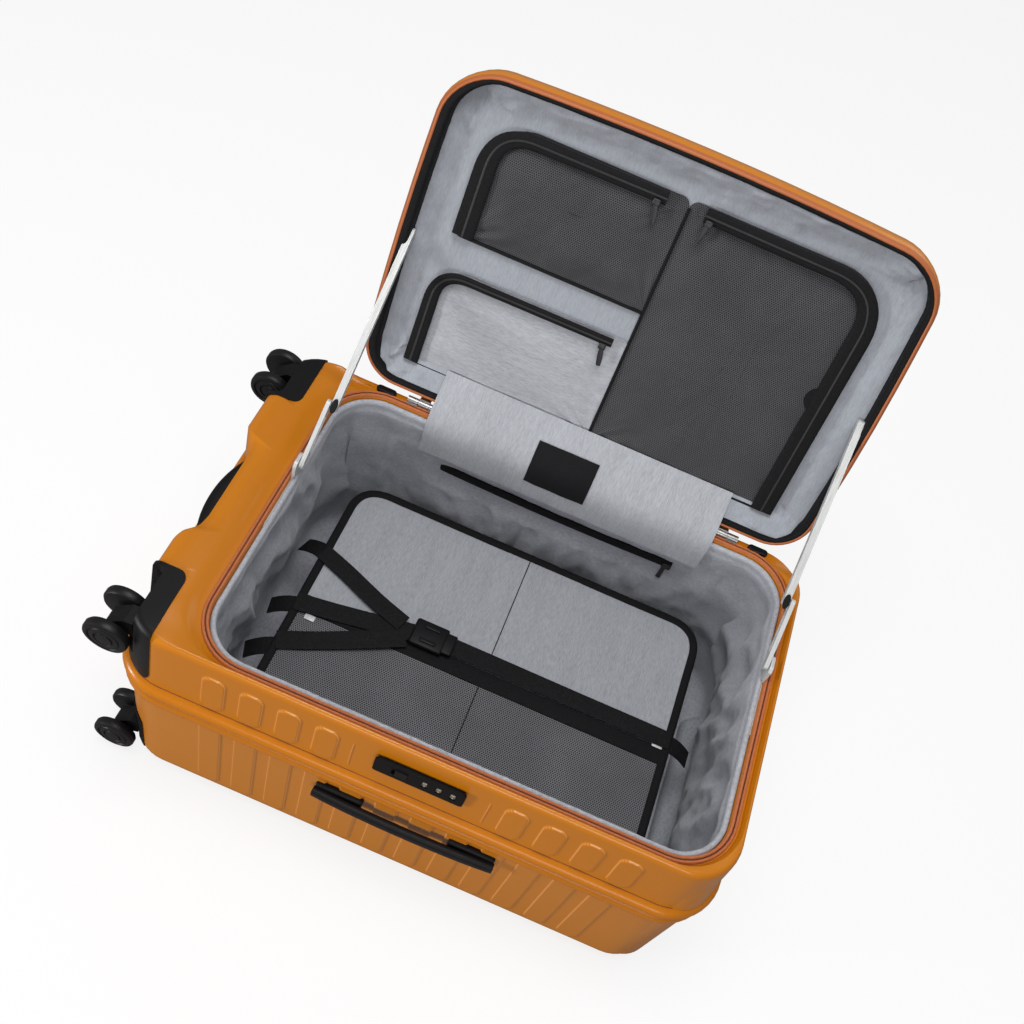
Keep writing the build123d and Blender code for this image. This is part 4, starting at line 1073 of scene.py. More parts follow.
# Each pocket's zip: its line on the lid, the radius of its corners, and its width at both ends.
POCKET_ZIPS = (
    (((-0.1960, 0.219), (-0.1960, 0.350), (0.0040, 0.352)), 0.046, 0.0265, 0.0150),
    (((0.0490, 0.352), (0.2610, 0.350), (0.2610, 0.044)), 0.058, 0.0165, 0.0270),
    (((-0.2080, 0.044), (-0.2080, 0.169), (0.0120, 0.170)), 0.036, 0.0190, 0.0105),
)
POCKET_SEAMS = (
    ((-0.204, 0.222), (-0.202, 0.217), (0.028, 0.217)),
    ((0.0298, 0.350), (0.0298, 0.040)),
    ((0.030, 0.041), (0.262, 0.041)),
    ((-0.206, 0.040), (0.028, 0.040)),
)


def pocket_trims():
    """The zip bands round the pockets with their teeth, the piping along the seams and the cable port."""
    bands, teeth, piping = bmesh.new(), bmesh.new(), bmesh.new()
    for points, radius, start, end in POCKET_ZIPS:
        path = lid_path(points, radius, 0.0136, 12)
        sweep(bands, path, partial(mix, start, end), 0.0050, LID_UP, sides=14, power=0.55)
        sweep(teeth, lid_path(points, radius, 0.0110, 12), 0.0026, 0.0012, LID_UP, sides=8)
    for points in POCKET_SEAMS:
        sweep(piping, lid_path(points, 0.006, 0.0188), 0.0040, 0.0044, LID_UP, sides=8, power=0.8)
    add_piece(bands, "pocket_zip_bands", "Black Zip Tape", "lid", "black_trim", "pocket_zips")
    add_piece(teeth, "pocket_zip_teeth", "Black Coil", "lid", "black_trim")
    add_piece(piping, "pocket_piping", "Black Zip Tape", "lid", "black_trim")
    port = []
    for step in range(17):
        turn = math.radians(-90 + 180 * step / 16)
        port.append(lid_point(0.2585 - 0.019 * math.cos(turn), 0.205 + 0.0165 * math.sin(turn), 0.0118))
    port += [lid_point(0.266, 0.2215, 0.0118), lid_point(0.266, 0.1885, 0.0118)]
    bm = loft([port, [point - LID_UP * 0.002 for point in port]])
    add_piece(bm, "pocket_cable_port", "Black Zip Tape", "lid", "black_trim")


def pull_tab_width(t):
    return 0.0046 + 0.0024 * math.sin(math.pi * min(t * 1.05, 1.0))


def zip_pullers():
    """A pull tab at the end of each pocket's zip, hanging from its slider."""
    bm = bmesh.new()
    for x, reach, lean in ((-0.006, 0.346, -78.0), (0.056, 0.346, -100.0), (0.002, 0.164, -80.0)):
        turn = math.radians(lean)
        way = Vector((math.cos(turn), math.sin(turn)))
        start = Vector((x, reach)) + way * 0.004
        tip = Vector((x, reach)) + way * 0.026
        path = []
        for t in (0, 0.08, 0.3, 0.6, 0.92, 1):
            path.append(lid_point(mix(start.x, tip.x, t), mix(start.y, tip.y, t), 0.0086 + 0.0012 * t))
        sweep(bm, path, pull_tab_width, 0.0018, LID_UP, sides=10, power=0.7)
        low, high = (x - 0.0045, -reach - 0.003, 0.0080), (x + 0.0045, -reach + 0.005, 0.0115)
        rounded_box(bm, low, high, 0.0014, matrix=LID)
    add_piece(bm, "zip_pulls", "Dark Nickel", "lid", "puller_grey", "zip_pullers")


# ---------------------------------------------------------------- lining of the body


def creases(point, seed):
    """Loose folds with soft valleys and sharper ridges, from 0 to about 1."""
    q = Vector(point) + Vector((seed, -seed, seed * 0.7))
    warp = Vector((noise.noise(q * 8.0), noise.noise(q * 8.0 + Vector((7.1, 1.9, 3.3))), 0.0)) * 0.03
    broad = 1.0 - 2.0 * abs(noise.noise((q + warp) * 9.0))
    sharp = 1.0 - 2.8 * abs(noise.noise((q + warp) * 21.0 + Vector((3.7, 8.2, 1.4))))
    fine = 1.0 - 3.0 * abs(noise.noise((q + warp * 0.5) * 47.0 + Vector((1.1, 6.4, 9.2))))
    return max(0.50 * broad + 0.34 * sharp + 0.13 * fine, 0.0)


def housing_limit(point):
    """How far towards the carry end the lining may go, where it steps over the trolley handle's housing."""
    return mix(0.3090, 0.3360, max(ease(0.046, 0.066, point.z), ease(0.114, 0.128, abs(point.y))))


def fold_wall(point, z, belly, crease):
    """Push a point of the lining's wall inwards by its folds, which are looser below the rim."""
    at_end = abs(point.x - MOUTH_X) / 0.297 > abs(point.y) / 0.203
    if at_end:
        inward, room = Vector((math.copysign(1.0, MOUTH_X - point.x), 0.0, 0.0)), 0.023
    else:
        inward, room = Vector((0.0, -math.copysign(1.0, point.y), 0.0)), 0.012 if point.y < 0 else 0.014
    if point.y > 0.15 and z > 0.205:
        room *= 1.0 - 0.85 * between(point.x, -0.135, 0.205, 0.03)
    along = point.y if at_end else point.x
    fold = creases((along, z * 0.62, 1.3 if at_end else 5.1), 11.0 if point.x > 0 else 17.0)
    small = crumple((point.x, point.y, z), 70.0, crease * 0.20, 2.0)
    tall = (0.15 + 0.85 * belly) * ease(0.035, 0.13, z)
    point += inward * (room * fold * tall + small * min(room / 0.012, 1.0) + 0.0008)
    point.x = min(point.x, housing_limit(point))


def body_lining(settings):
    """The crinkled cloth of the body: up behind its walls, over the rim, down them and across the floor."""
    runs = (spaced(130), spaced(80))
    x0, x1, y, corner = -0.2660, 0.3240, 0.2005, 0.056

    def row(offset, z, radius=None):
        plan = (x0 - offset, x1 + offset, -y - offset, y + offset)
        return outline(*plan, max(radius or corner + offset, 0.003), z, runs)

    behind = (
        (-0.19, 0.0262, 0.004), (-0.05, 0.0262, 0.02), (0.010, 0.027, 0.03), (0.0118, 0.05), (0.0122, 0.2),
        (0.0118, 0.296), (0.0018, 0.302), (0.0018, 0.314), (0.0012, 0.3172),
    )
    rim = (
        (-0.0006, 318.2), (-0.0022, 318.0), (-0.0036, 316.8), (-0.0044, 314.6), (-0.0042, 311.0),
        (-0.0030, 307.0),
    )
    wall = (
        303, 299, 294, 289, 284, 278, 272, 266, 259, 252, 244, 236, 228, 220, 211, 202, 193, 184, 175, 166,
        157, 148, 139, 130, 120, 110, 100, 90, 80, 70, 61, 52,
    )
    floor = (
        (0.006, 0.044), (0.0, 0.036), (-0.012, 0.030), (-0.030, 0.0282), (-0.07, 0.028), (-0.12, 0.028),
        (-0.19, 0.028),
    )
    rows = [row(*stop) for stop in behind]
    for offset, height in rim:
        points = row(offset, height * MM)
        for point in points:
            point.z += crumple((point.x, point.y, 0.0), 55.0, 0.0016, 3.0)
        rows.append(points)
    for height in wall:
        z = height * MM
        belly = 1.0 - ease(0.262, 0.306, z)
        points = row(mix(-0.0030, 0.0098, belly), z)
        for point in points:
            fold_wall(point, z, belly, settings.crease)
        rows.append(points)
    for offset, z in floor:
        points = row(offset, z, max(0.050 + offset, 0.004))
        for point in points:
            point.z += abs(crumple((point.x, point.y, 0.5), 16.0, settings.crease * 0.35, 7.0))
            point.x = min(point.x, housing_limit(point))
        rows.append(points)
    piece = add_piece(
        loft(rows), "body_cloth_lining", "Crinkled Lining", "case", "grey_lining", "body_lining",
        smooth=80,
    )


def wall_zip():
    """The black zip across the lining of the hinge wall, with its pull."""
    inwards = Vector((0, -1, 0))
    path = []
    for step in range(21):
        x = mix(-0.130, 0.198, step / 20)
        path.append(Vector((x, 0.2072, 0.2345 - 0.004 * math.sin((x + 0.13) / 0.33 * math.pi))))
    seam = bmesh.new()
    sweep(seam, path, 0.0135, 0.0046, inwards, sides=10)
    add_piece(seam, "wall_zip_band", "Black Zip Tape", "case", "black_trim", "wall_zip")
    tab = bmesh.new()
    rounded_box(tab, (0.186, 0.2015, 0.2285), (0.198, 0.2060, 0.2375), 0.0012)
    tip = [Vector((0.190 - 0.001 * t, 0.2035 - 0.0025 * t, 0.230 - 0.022 * t)) for t in (0, 0.1, 0.4, 0.8, 1)]
    sweep(tab, tip, partial(mix, 0.0046, 0.0066), 0.0018, inwards, sides=10)
    add_piece(tab, "wall_zip_pull", "Dark Nickel", "case", "puller_grey")


FLAP_LINE = (
    (192.6, 268), (192.2, 284), (191.8, 300), (192.8, 314), (197.5, 327), (207.5, 338), (219.5, 346.5),
    (231.0, 353.8), (241.0, 360.2), (246.6, 365.8),
)


def flap_sheet(name, material, x0, x1, start, end, lift, columns=40):
    """A strip of the hinge flap between two shares of its height, held off its curve by a lift."""
    line = smooth_path([Vector((0.0, y * MM, z * MM)) for y, z in FLAP_LINE], 6)
    last, steps = len(line) - 1, 24
    shares = [mix(start, end, k / steps) for k in range(steps + 1)]
    spine = []
    for share in shares:
        low = min(int(share * last), last - 1)
        spine.append(line[low].lerp(line[low + 1], share * last - low))

    def column(x):
        front, back = [], []
        for k, (share, point) in enumerate(zip(shares, spine)):
            tangent = (spine[min(k + 1, steps)] - spine[max(k - 1, 0)]).normalized()
            normal = Vector((0, -tangent.z, tangent.y))
            if normal.y > 0:
                normal = -normal
            broad = noise.noise(Vector((x * 13, share * 1.4, 4.0)))
            fine = noise.noise(Vector((x * 46, share * 3.0, 9.0)))
            wave = broad * 0.0035 * math.sin(math.pi * min(share, 1.0)) + fine * 0.0007
            middle = Vector((x, point.y, point.z)) + normal * (wave + lift)
            front.append(middle + normal * 0.0007)
            back.append(middle - normal * 0.0007)
        return front + back[::-1]

    rows = [column(mix(x0, x1, i / columns)) for i in range(columns + 1)]
    return finish_mesh(loft(rows), name, material, smooth=60)


def hinge_flap():
    flap = flap_sheet("hinge_flap_cloth", "Heathered Flap", -0.160, 0.222, 0.0, 1.0, 0.0, 60)
    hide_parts("hinge_flap", "lid_flap")
    patch = flap_sheet("flap_label_patch", "Black Patch", -0.022, 0.058, 0.20, 0.66, 0.0012, 16)
    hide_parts("flap_patch")
    for piece in (flap, patch):
        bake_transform(piece)


# ---------------------------------------------------------------- packing panel

PANEL_X = (-0.222, 0.278)
PANEL_Y = (-0.182, 0.190)
PANEL_Z = 0.150


def panel_half(name, material, slot, node, y0, y1, radii, seed):
    """One of the panel's two sheets: a thin, slightly uneven cushion between two places across it."""
    runs = (spaced(30), spaced(20))
    x0, x1 = PANEL_X[0] + 0.004, PANEL_X[1] - 0.004
    limit = (y1 - y0) / 2

    def row(inset, z):
        radius = tuple(max(r - inset, 0.002) for r in radii)
        return outline(x0 + inset, x1 - inset, y0 + inset, y1 - inset, radius, z, runs)

    rows = [row(limit * 0.9, PANEL_Z + 0.0008), row(0.01, PANEL_Z + 0.0008), row(0, PANEL_Z + 0.0012)]
    for share in (0.0, 0.02, 0.05, 0.1, 0.2, 0.34, 0.5, 0.7, 0.9):
        points = row(limit * share, 0.0)
        for point in points:
            point.z = PANEL_Z + 0.0028 + crumple((point.x, point.y, seed), 9.0, 0.0012, seed)
        rows.append(points)
    return add_piece(loft(rows), name, material, "packing_panel", slot, node, smooth=80)


def packing_panel():
    """The panel over the packing space: cloth on the hinge side, net on the near side, piped all round."""
    near, far = PANEL_Y[0] + 0.004, PANEL_Y[1] - 0.004
    left, right = PANEL_X[0] + 0.004, PANEL_X[1] - 0.004
    bar_y, corner, square = -0.012, 0.034, 0.003
    cloth_piece = panel_half(
        "panel_cloth", "Heathered Panel", "grey_lining", "panel_fabric", bar_y, far,
        (square, square, corner, corner), 3.0,
    )
    net_piece = panel_half(
        "panel_net", "Grey Net Panel", "dark_mesh", "panel_mesh", near, bar_y,
        (corner, corner, square, square), 6.0,
    )
    border = bmesh.new()
    plan = ((left, near), (right, near), (right, far), (left, far))
    ring = corner_path([Vector((x, y, PANEL_Z + 0.0026)) for x, y in plan], 0.042, 14, closed=True)
    sweep(border, ring, 0.0110, 0.0064, UP, closed=True, sides=12, power=0.75)
    bar = [Vector((mix(left + 0.002, right - 0.002, i / 12), bar_y, PANEL_Z + 0.0036)) for i in range(13)]
    sweep(border, bar, 0.0230, 0.0044, UP, sides=10)
    seam = [Vector((MOUTH_X, mix(near + 0.004, far - 0.004, i / 20), 0.0)) for i in range(21)]
    for point in seam:
        point.z = PANEL_Z + 0.0030 + crumple((point.x, point.y, 3.0), 9.0, 0.0012, 3.0)
    sweep(border, seam, 0.0013, 0.0012, UP, sides=8)
    add_piece(border, "panel_piping", "Black Zip Tape", "packing_panel", "black_trim", "panel_border")


# The straps on the panel: three from the wheel end that meet at the clip, and one from the carry end.
STRAPS = (
    (0.024, ((-0.221, 0.064, 0.1575), (-0.180, 0.048, 0.1590), (-0.130, 0.026, 0.1610),
             (-0.088, 0.011, 0.1622))),
    (0.025, ((-0.221, -0.017, 0.1570), (-0.170, -0.010, 0.1578), (-0.110, 0.000, 0.1588),
             (-0.066, 0.007, 0.1600))),
    (0.025, ((-0.219, -0.076, 0.1565), (-0.175, -0.056, 0.1572), (-0.125, -0.031, 0.1596),
             (-0.078, -0.006, 0.1612))),
    (0.024, ((-0.034, 0.010, 0.1600), (0.050, 0.011, 0.1578), (0.150, 0.011, 0.1572),
             (0.230, 0.011, 0.1574), (0.275, 0.011, 0.1570))),
)


def packing_straps(fittings):
    """The straps over the panel, the clip that joins them, and the ends that anchor them to the walls."""
    straps = bmesh.new()
    for width, points in STRAPS:
        path = smooth_path([Vector(point) for point in points])
        sweep(straps, path, width, fittings.webbing, UP, power=0.35)
    add_piece(
        straps, "packing_straps", "Black Webbing", "packing_panel", "black_webbing", "panel_straps",
        smooth=60,
    )
    buckle = bmesh.new()
    rounded_box(buckle, (-0.074, -0.0105, 0.1585), (-0.030, 0.0275, 0.1655), 0.0030)
    rounded_box(buckle, (-0.034, -0.0065, 0.1590), (-0.018, 0.0235, 0.1645), 0.0022)
    for y in (-0.0035, 0.0165):
        rounded_box(buckle, (-0.062, y - 0.001, 0.1630), (-0.040, y + 0.005, 0.1672), 0.0016)
    add_piece(buckle, "strap_clip", "Black Plastic", "packing_panel", "black_plastic", "strap_buckle")
    anchors = bmesh.new()
    left, right = PANEL_X[0] + 0.006, PANEL_X[1] - 0.006
    ends = (
        (left, 0.067, -1, 0.012), (left, -0.017, -1, -0.006), (left, -0.080, -1, -0.012),
        (right, 0.011, 1, 0.0),
    )
    for x, y, way, slant in ends:
        path = []
        for t in (0, 0.2, 0.4, 0.6, 0.8, 1):
            path.append(Vector((x + way * 0.036 * t, y + slant * t, PANEL_Z - 0.020 * t * t)))
        sweep(anchors, path, 0.0235, 0.0016, UP, power=0.35)
    add_piece(anchors, "side_anchor_straps", "Black Webbing", "case", "black_webbing", "strap_anchors")
    tabs = bmesh.new()
    for x, y in ((-0.196, -0.030), (0.262, 0.0)):
        rounded_box(tabs, (x - 0.007, y - 0.004, 0.1535), (x + 0.007, y + 0.004, 0.1560), 0.0010)
    add_piece(tabs, "strap_slide_tabs", "Pale Steel", "packing_panel", "stay_steel")


# ---------------------------------------------------------------- casters and fittings


def caster_wheels(corner):
    """The twin wheels of a caster with a groove round each face, and the axle between them."""
    center = Vector(JOINTS["caster_roll_" + corner]["pos_m"])
    axle = (0, 1, 0)
    radius, inner, width = 0.026, 0.0150, 0.0125
    outer = inner + width
    profile = (
        (0.0, inner), (radius - 0.0045, inner), (radius - 0.0018, inner + 0.0006), (radius, inner + 0.003),
        (radius, outer - 0.0035), (radius - 0.001, outer - 0.0012), (radius - 0.004, outer),
        (radius - 0.0062, outer), (radius - 0.0070, outer - 0.0014), (radius - 0.0085, outer - 0.0014),
        (radius - 0.0092, outer - 0.0002), (radius - 0.0140, outer + 0.0004),
        (radius - 0.0148, outer - 0.0012), (radius - 0.0160, outer - 0.0012),
        (radius - 0.0168, outer + 0.0006), (0.0040, outer + 0.0010), (0.0, outer + 0.0010),
    )
    bm = bmesh.new()
    for side in (-1, 1):
        disc(bm, [(r, along * side) for r, along in profile], center, axle, 48)
    half = inner + 0.001
    disc(bm, [(0.0, -half), (0.0026, -half), (0.0026, half), (0.0, half)], center, axle, 20)
    wheels = "caster_wheels_" + corner
    add_piece(bm, "wheels_" + corner, "Caster Rubber", wheels, "caster_tyre", wheels, merge=1e-6)


CAD_FINISHES = {
    "Black Plastic": (
        "rim_bumpers", "trolley_bezel", "trolley_grip", "trolley_button", "lock_release",
        "knee_button_left", "knee_button_right", "caster_fork_front_near", "caster_fork_front_far",
        "caster_fork_rear_near", "caster_fork_rear_far",
    ),
    "Pale Steel": ("stay_brackets", "stay_link_left", "stay_link_right", "stay_arm_left", "stay_arm_right"),
    "Hinge Steel": ("hinge_ears", "hinge_leaves", "hinge_pins"),
    "Drawn Aluminium": ("trolley_outer_tubes", "trolley_middle_tubes", "trolley_inner_tubes"),
    "Lock Black": ("lock_housing",),
    "Dark Dial": ("lock_dial_1", "lock_dial_2", "lock_dial_3"),
}


def finish_fittings():
    """Give the exact fittings their finishes."""
    for finish_name, nodes in CAD_FINISHES.items():
        for node in nodes:
            materials = frame["nodes"][node].data.materials
            if not materials:
                materials.append(MATERIALS[finish_name])
            for index in range(len(materials)):
                materials[index] = MATERIALS[finish_name]


def guard_ring(front):
    """A ring a little proud of the shell, from which a corner guard is cut."""
    proud, deep = 0.0015, 0.0040
    plan = []
    if front:
        for z in (FRAME_BASE + 0.001, 0.280, 0.3215):
            plan.append(((z - FRAME_BASE) * FRAME_DRAFT - proud, z))
        for step in range(1, 7):
            t = math.radians(90.0 * step / 6)
            z = CROWN + proud - 0.010 + 0.010 * math.sin(t)
            plan.append(((z - FRAME_BASE) * FRAME_DRAFT - proud + 0.010 - 0.010 * math.cos(t), z))
        plan += [(0.046, CROWN + proud), (0.046, CROWN - deep), (0.020, CROWN - deep)]
        plan += [(deep + 0.006, 0.310), (deep, FRAME_BASE + 0.001)]
    else:
        plan.append((-proud, SPLIT - 0.001))
        for step in range(7, -1, -1):
            t = math.radians(90.0 * step / 7)
            z = 0.0302 - FLOOR_ROUND * math.cos(t)
            round_off = FLOOR_ROUND - FLOOR_ROUND * math.sin(t) - proud * math.sin(t)
            plan.append(((SPLIT - z) * REAR_DRAFT + round_off, z))
        plan += [(0.060, 0.0002), (0.060, deep), (0.040, deep), (deep + 0.006, 0.034), (deep, SPLIT - 0.001)]
    rows = [inset_outline(inset, z) for inset, z in plan]
    return finish_mesh(loft(rows, ring=True), "corner_guard", "Black Plastic")


def corner_guards():
    """The guards over the four wheel-end corners, each hollowed for its caster and backed by plates."""
    black = "Black Plastic"

    def block(bm, x, near, far, z, radius, segments=3):
        y = sorted((side * near, side * far))
        rounded_box(bm, (x[0], y[0], z[0]), (x[1], y[1], z[1]), radius, segments)
        return bm

    for side, front in ((-1, True), (1, True), (-1, False), (1, False)):
        label = ("front" if front else "rear") + ("_near" if side < 0 else "_far")
        piece = guard_ring(front)
        x, z = ((-0.40, -0.3045), (0.2400, 0.3600)) if front else ((-0.40, -0.3200), (-0.012, 0.104))
        keep = block(bmesh.new(), x, 0.1335, 0.260, z, 0.012, 5)
        carve(piece, finish_mesh(keep, "guard_limit", black), "INTERSECT")
        z = (0.2535, 0.36) if front else (-0.02, 0.0965)
        hollow = block(bmesh.new(), (-0.42, -0.3300), 0.1375, 0.270, z, 0.009, 4)
        carve(piece, finish_mesh(hollow, "guard_space", black))
        wall, shelf, foot = ((0.2505, 0.3200), (0.2502, 0.2540), 0.2505) if front else (
            (0.010, 0.0995), (0.0962, 0.1000), 0.024)
        plates = block(bmesh.new(), (-0.3305, -0.3262), 0.1345, 0.2000, wall, 0.0015)
        block(plates, (-0.3425, -0.3262), 0.1345, 0.1890, shelf, 0.0015)
        block(plates, (-0.3425, -0.3262), 0.1340, 0.1378, (foot, wall[1]), 0.0015)
        add_piece(plates, "guard_plates_" + label, black, "case", "black_plastic")
        piece.name = "corner_guard_" + label
        for polygon in piece.data.polygons:
            polygon.use_smooth = True
        piece.data.set_sharp_from_angle(angle=math.radians(40))
        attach(piece, "case")
        if front and side < 0:
            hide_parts("corner_guards")


def handle_width(t):
    return 0.0170 - 0.0020 * abs(2 * t - 1) ** 6


def carry_handles():
    """Flat spring handles with long mounting plates, on the near side and on the carry end."""
    plates = bmesh.new()
    spots = (
        ("side_handle", Vector((0.011, -0.2236, 0.166)), Vector((1, 0, 0)), Vector((0, -1, 0))),
        ("top_handle", Vector((0.3486, 0.0, 0.166)), Vector((0, 1, 0)), Vector((1, 0, 0))),
    )
    for node, middle, along, out in spots:
        turn = Matrix((along, out, UP)).transposed().to_4x4()
        standing = Matrix.Translation(middle) @ turn
        for x0, x1 in ((-0.109, -0.052), (0.052, 0.109)):
            rounded_box(plates, (x0, -0.003, -0.006), (x1, 0.0072, 0.0120), 0.0028, matrix=standing)
        bm = bmesh.new()
        path = []
        for step in range(33):
            s = -1.0 + step / 16
            reach = 0.0098 + 0.0034 * (1.0 - abs(s) ** 2.2)
            path.append(standing @ Vector((s * 0.110, reach, -0.001)))
        sweep(bm, path, handle_width, 0.0092, out, sides=20)
        line = [point + out * 0.0044 + Vector((0, 0, 0.0028)) for point in path[1:-1]]
        sweep(bm, line, 0.0018, 0.0010, out, sides=8)
        add_piece(bm, node + "_bar", "Black Plastic", node, "black_plastic", node)
    add_piece(plates, "handle_plates", "Black Plastic", "case", "black_plastic", "handle_mounts")


def grab_handle():
    """The crescent grab handle between the front casters."""
    low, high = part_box("bottom_grab_handle")
    rows = []
    for step in range(29):
        s = -1.0 + step / 14
        bulge = (high.x - 0.002 - low.x) * (1.0 - abs(s) ** 2.1)
        outer, inner = high.x - 0.002 - bulge, high.x + 0.001 - bulge * 0.25
        middle = Vector(((inner + outer) / 2, mix(low.y, high.y, (s + 1) / 2), (low.z + high.z) / 2))
        half = max((inner - outer) / 2, 0.003), 0.0125 * (1.0 - 0.35 * abs(s) ** 4)
        rows.append(rounded_ring(middle, half, Vector((1, 0, 0)), UP, (0.6, 0.55), 16))
    add_piece(
        loft(rows), "grab_handle_crescent", "Black Plastic", "case", "black_plastic", "bottom_grab_handle"
    )


def numeral(character, size, matrix, name):
    """A small flat number with a little thickness."""
    curve = bpy.data.curves.new(name, "FONT")
    curve.body = character
    curve.size = size
    curve.extrude = 0.00008
    curve.align_x, curve.align_y = "CENTER", "CENTER"
    text = bpy.data.objects.new(name + "_text", curve)
    bpy.context.scene.collection.objects.link(text)
    depsgraph = bpy.context.evaluated_depsgraph_get()
    mesh = bpy.data.meshes.new_from_object(text.evaluated_get(depsgraph))
    bpy.data.objects.remove(text)
    bpy.data.curves.remove(curve)
    mesh.transform(matrix)
    mesh.materials.clear()
    mesh.materials.append(MATERIALS["Pale Print"])
    piece = bpy.data.objects.new(name, mesh)
    bpy.context.scene.collection.objects.link(piece)
    return piece


def lock_marks():
    """The numbers on the dials, the index marks under them and the red dot of the release."""
    upright = Matrix.Rotation(math.radians(90), 4, "X")
    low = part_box("lock_housing")[0]

    def on_face(x, z):
        return (x, low.y + (z - low.z) * FRAME_DRAFT, z)

    dots, out = bmesh.new(), (0, -1, 0)
    for index in (1, 2, 3):
        center = Vector(JOINTS["lock_dial_turn_%d" % index]["pos_m"])
        matrix = Matrix.Translation(center + Vector((0, -0.00552, 0))) @ upright
        piece = numeral("0", 0.0036, matrix, "dial_number_%d" % index)
        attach(piece, "lock_dial_%d" % index)
        mark = [(0.0, 0.0002), (0.0007, 0.0002), (0.0007, -0.0006), (0.0, -0.0006)]
        disc(dots, mark, on_face(JOINTS["lock_dial_turn_%d" % index]["pos_m"][0], 0.2925), out, 3)
    add_piece(dots, "lock_index_marks", "Pale Print", "case", "lock_black", merge=1e-7)
    signal = bmesh.new()
    button = [(0.0, 0.0003), (0.0016, 0.0003), (0.0019, 0.0), (0.0019, -0.0006), (0.0, -0.0006)]
    disc(signal, button, on_face(low.x + 0.0085, 0.2865), out, 20)
    add_piece(signal, "lock_red_dot", "Red Signal", "case", "lock_black", merge=1e-7)


# ---------------------------------------------------------------- materials of this case


def shade(colour, *gains):
    """A colour with its channels scaled, by one gain each or by the same one."""
    return tuple(c * gain for c, gain in zip(colour, gains if len(gains) > 1 else gains * 3))


def make_materials(shell, cloths, fittings):
    orange, black = tuple(shell.orange), tuple(fittings.black)
    light, dark = tuple(cloths.light), tuple(cloths.dark)
    frame_orange, bead_orange = shade(orange, 0.97, 0.93, 0.35), shade(orange, 0.97, 0.90, 0.3)
    moulded = {"gloss": 0.30, "grain": 420.0, "drift": 0.25, "bump": (0.06, 0.0002)}
    plastic("Orange Polycarbonate", orange, specular=0.42, coat=(0.15, 0.2), **moulded)
    plastic("Orange Frame", frame_orange, specular=0.30, coat=(0.30, 0.12), **moulded)
    # Painted highlight: the rib edges of both shells are lightened towards pale peach.
    for name in ("Orange Polycarbonate", "Orange Frame"):
        paint_rib_highlight(MATERIALS[name])
    plastic("Orange Bead", bead_orange, gloss=0.24, drift=0.2, specular=0.32)
    # A darkened copy of the shell orange: painted shade for the bead's grooves.
    plastic("Painted Groove Shade", shade(orange, 0.30, 0.22, 0.2), gloss=0.5)
    plastic("Burnt Rim", tuple(shell.rim), gloss=0.48, drift=0.25)
    plastic("Black Plastic", black, gloss=0.40, grain=1500.0, drift=0.3, bump=(0.25, 0.00015), specular=0.18)
    plastic("Black Coil", (0.0075, 0.0075, 0.0085), gloss=0.45)
    rubber = {"gloss": 0.40, "grain": 1200.0, "bump": (0.2, 0.00015), "specular": 0.28}
    plastic("Caster Rubber", (0.0060, 0.0060, 0.0070), **rubber)
    plastic("Lock Black", (0.005, 0.005, 0.006), gloss=0.32, grain=1200.0, spread=0.05, specular=0.06)
    plastic("Pale Print", (0.75, 0.75, 0.76), gloss=0.6)
    plastic("Red Signal", (0.55, 0.02, 0.015), gloss=0.4)
    long, fine = 0.009, 0.0011
    lining, walls = shade(light, 0.725, 0.745, 0.775), shade(light, 0.98, 0.98, 1.00)
    cloth("Heathered Lid Lining", lining, dark, (fine, long, 0.004), lid=True, contrast=0.62)
    cloth("Heathered Lid Pocket", shade(light, 0.90), dark, (long, fine, fine), lid=True, contrast=0.72)
    cloth("Heathered Flap", shade(light, 0.90), dark, (fine, long, long), contrast=0.66)
    cloth("Heathered Panel", shade(light, 0.84), dark, (fine, long, fine), contrast=0.74)
    cloth("Crinkled Lining", walls, shade(dark, 0.9), (0.0045, 0.0045, 0.0018), contrast=0.60)
    net("Grey Net Lid", (0.076, 0.076, 0.083), (0.010, 0.010, 0.012), 0.0023, lid=True)
    net("Grey Net Panel", (0.185, 0.185, 0.198), (0.016, 0.016, 0.018), 0.0026)
    tape("Salmon Tape", (0.50, 0.150, 0.055), (0.62, 0.24, 0.11), 0.0014)
    tape("Black Zip Tape", (0.0052, 0.0052, 0.0060), (0.015, 0.015, 0.017), 0.0012)
    tape("Dark Webbing", (0.10, 0.038, 0.020), (0.16, 0.07, 0.04), 0.0010)
    tape("Black Webbing", (0.0055, 0.0055, 0.0062), (0.019, 0.019, 0.021), 0.0018)
    tape("Black Patch", (0.006, 0.006, 0.007), (0.013, 0.013, 0.015), 0.0009)
    metal("Pale Steel", (0.64, 0.65, 0.64), (0.0006, 0.02, 0.02), gloss=0.42, metallic=0.25)
    metal("Hinge Steel", (0.42, 0.42, 0.42), (0.02, 0.0006, 0.0006), gloss=0.34)
    metal("Drawn Aluminium", (0.66, 0.66, 0.68), (0.03, 0.0006, 0.0006), gloss=0.28)
    metal("Dark Nickel", (0.032, 0.032, 0.035), (0.001, 0.001, 0.001), gloss=0.38, metallic=0.5)
    metal("Dark Dial", (0.20, 0.17, 0.13), (0.0006, 0.006, 0.006), gloss=0.38, metallic=0.7)


# ---------------------------------------------------------------- stage


def area_light(name, position, size, power):
    """A rectangular softbox that faces the middle of the case."""
    data = bpy.data.lights.new(name, "AREA")
    data.shape = "RECTANGLE"
    data.size, data.size_y = size
    data.energy = power
    light = bpy.data.objects.new(name, data)
    light.location = position
    aim = Vector((0.0, 0.0, 0.2)) - Vector(position)
    light.rotation_euler = aim.to_track_quat("-Z", "Y").to_euler()
    bpy.context.scene.collection.objects.link(light)
    return light


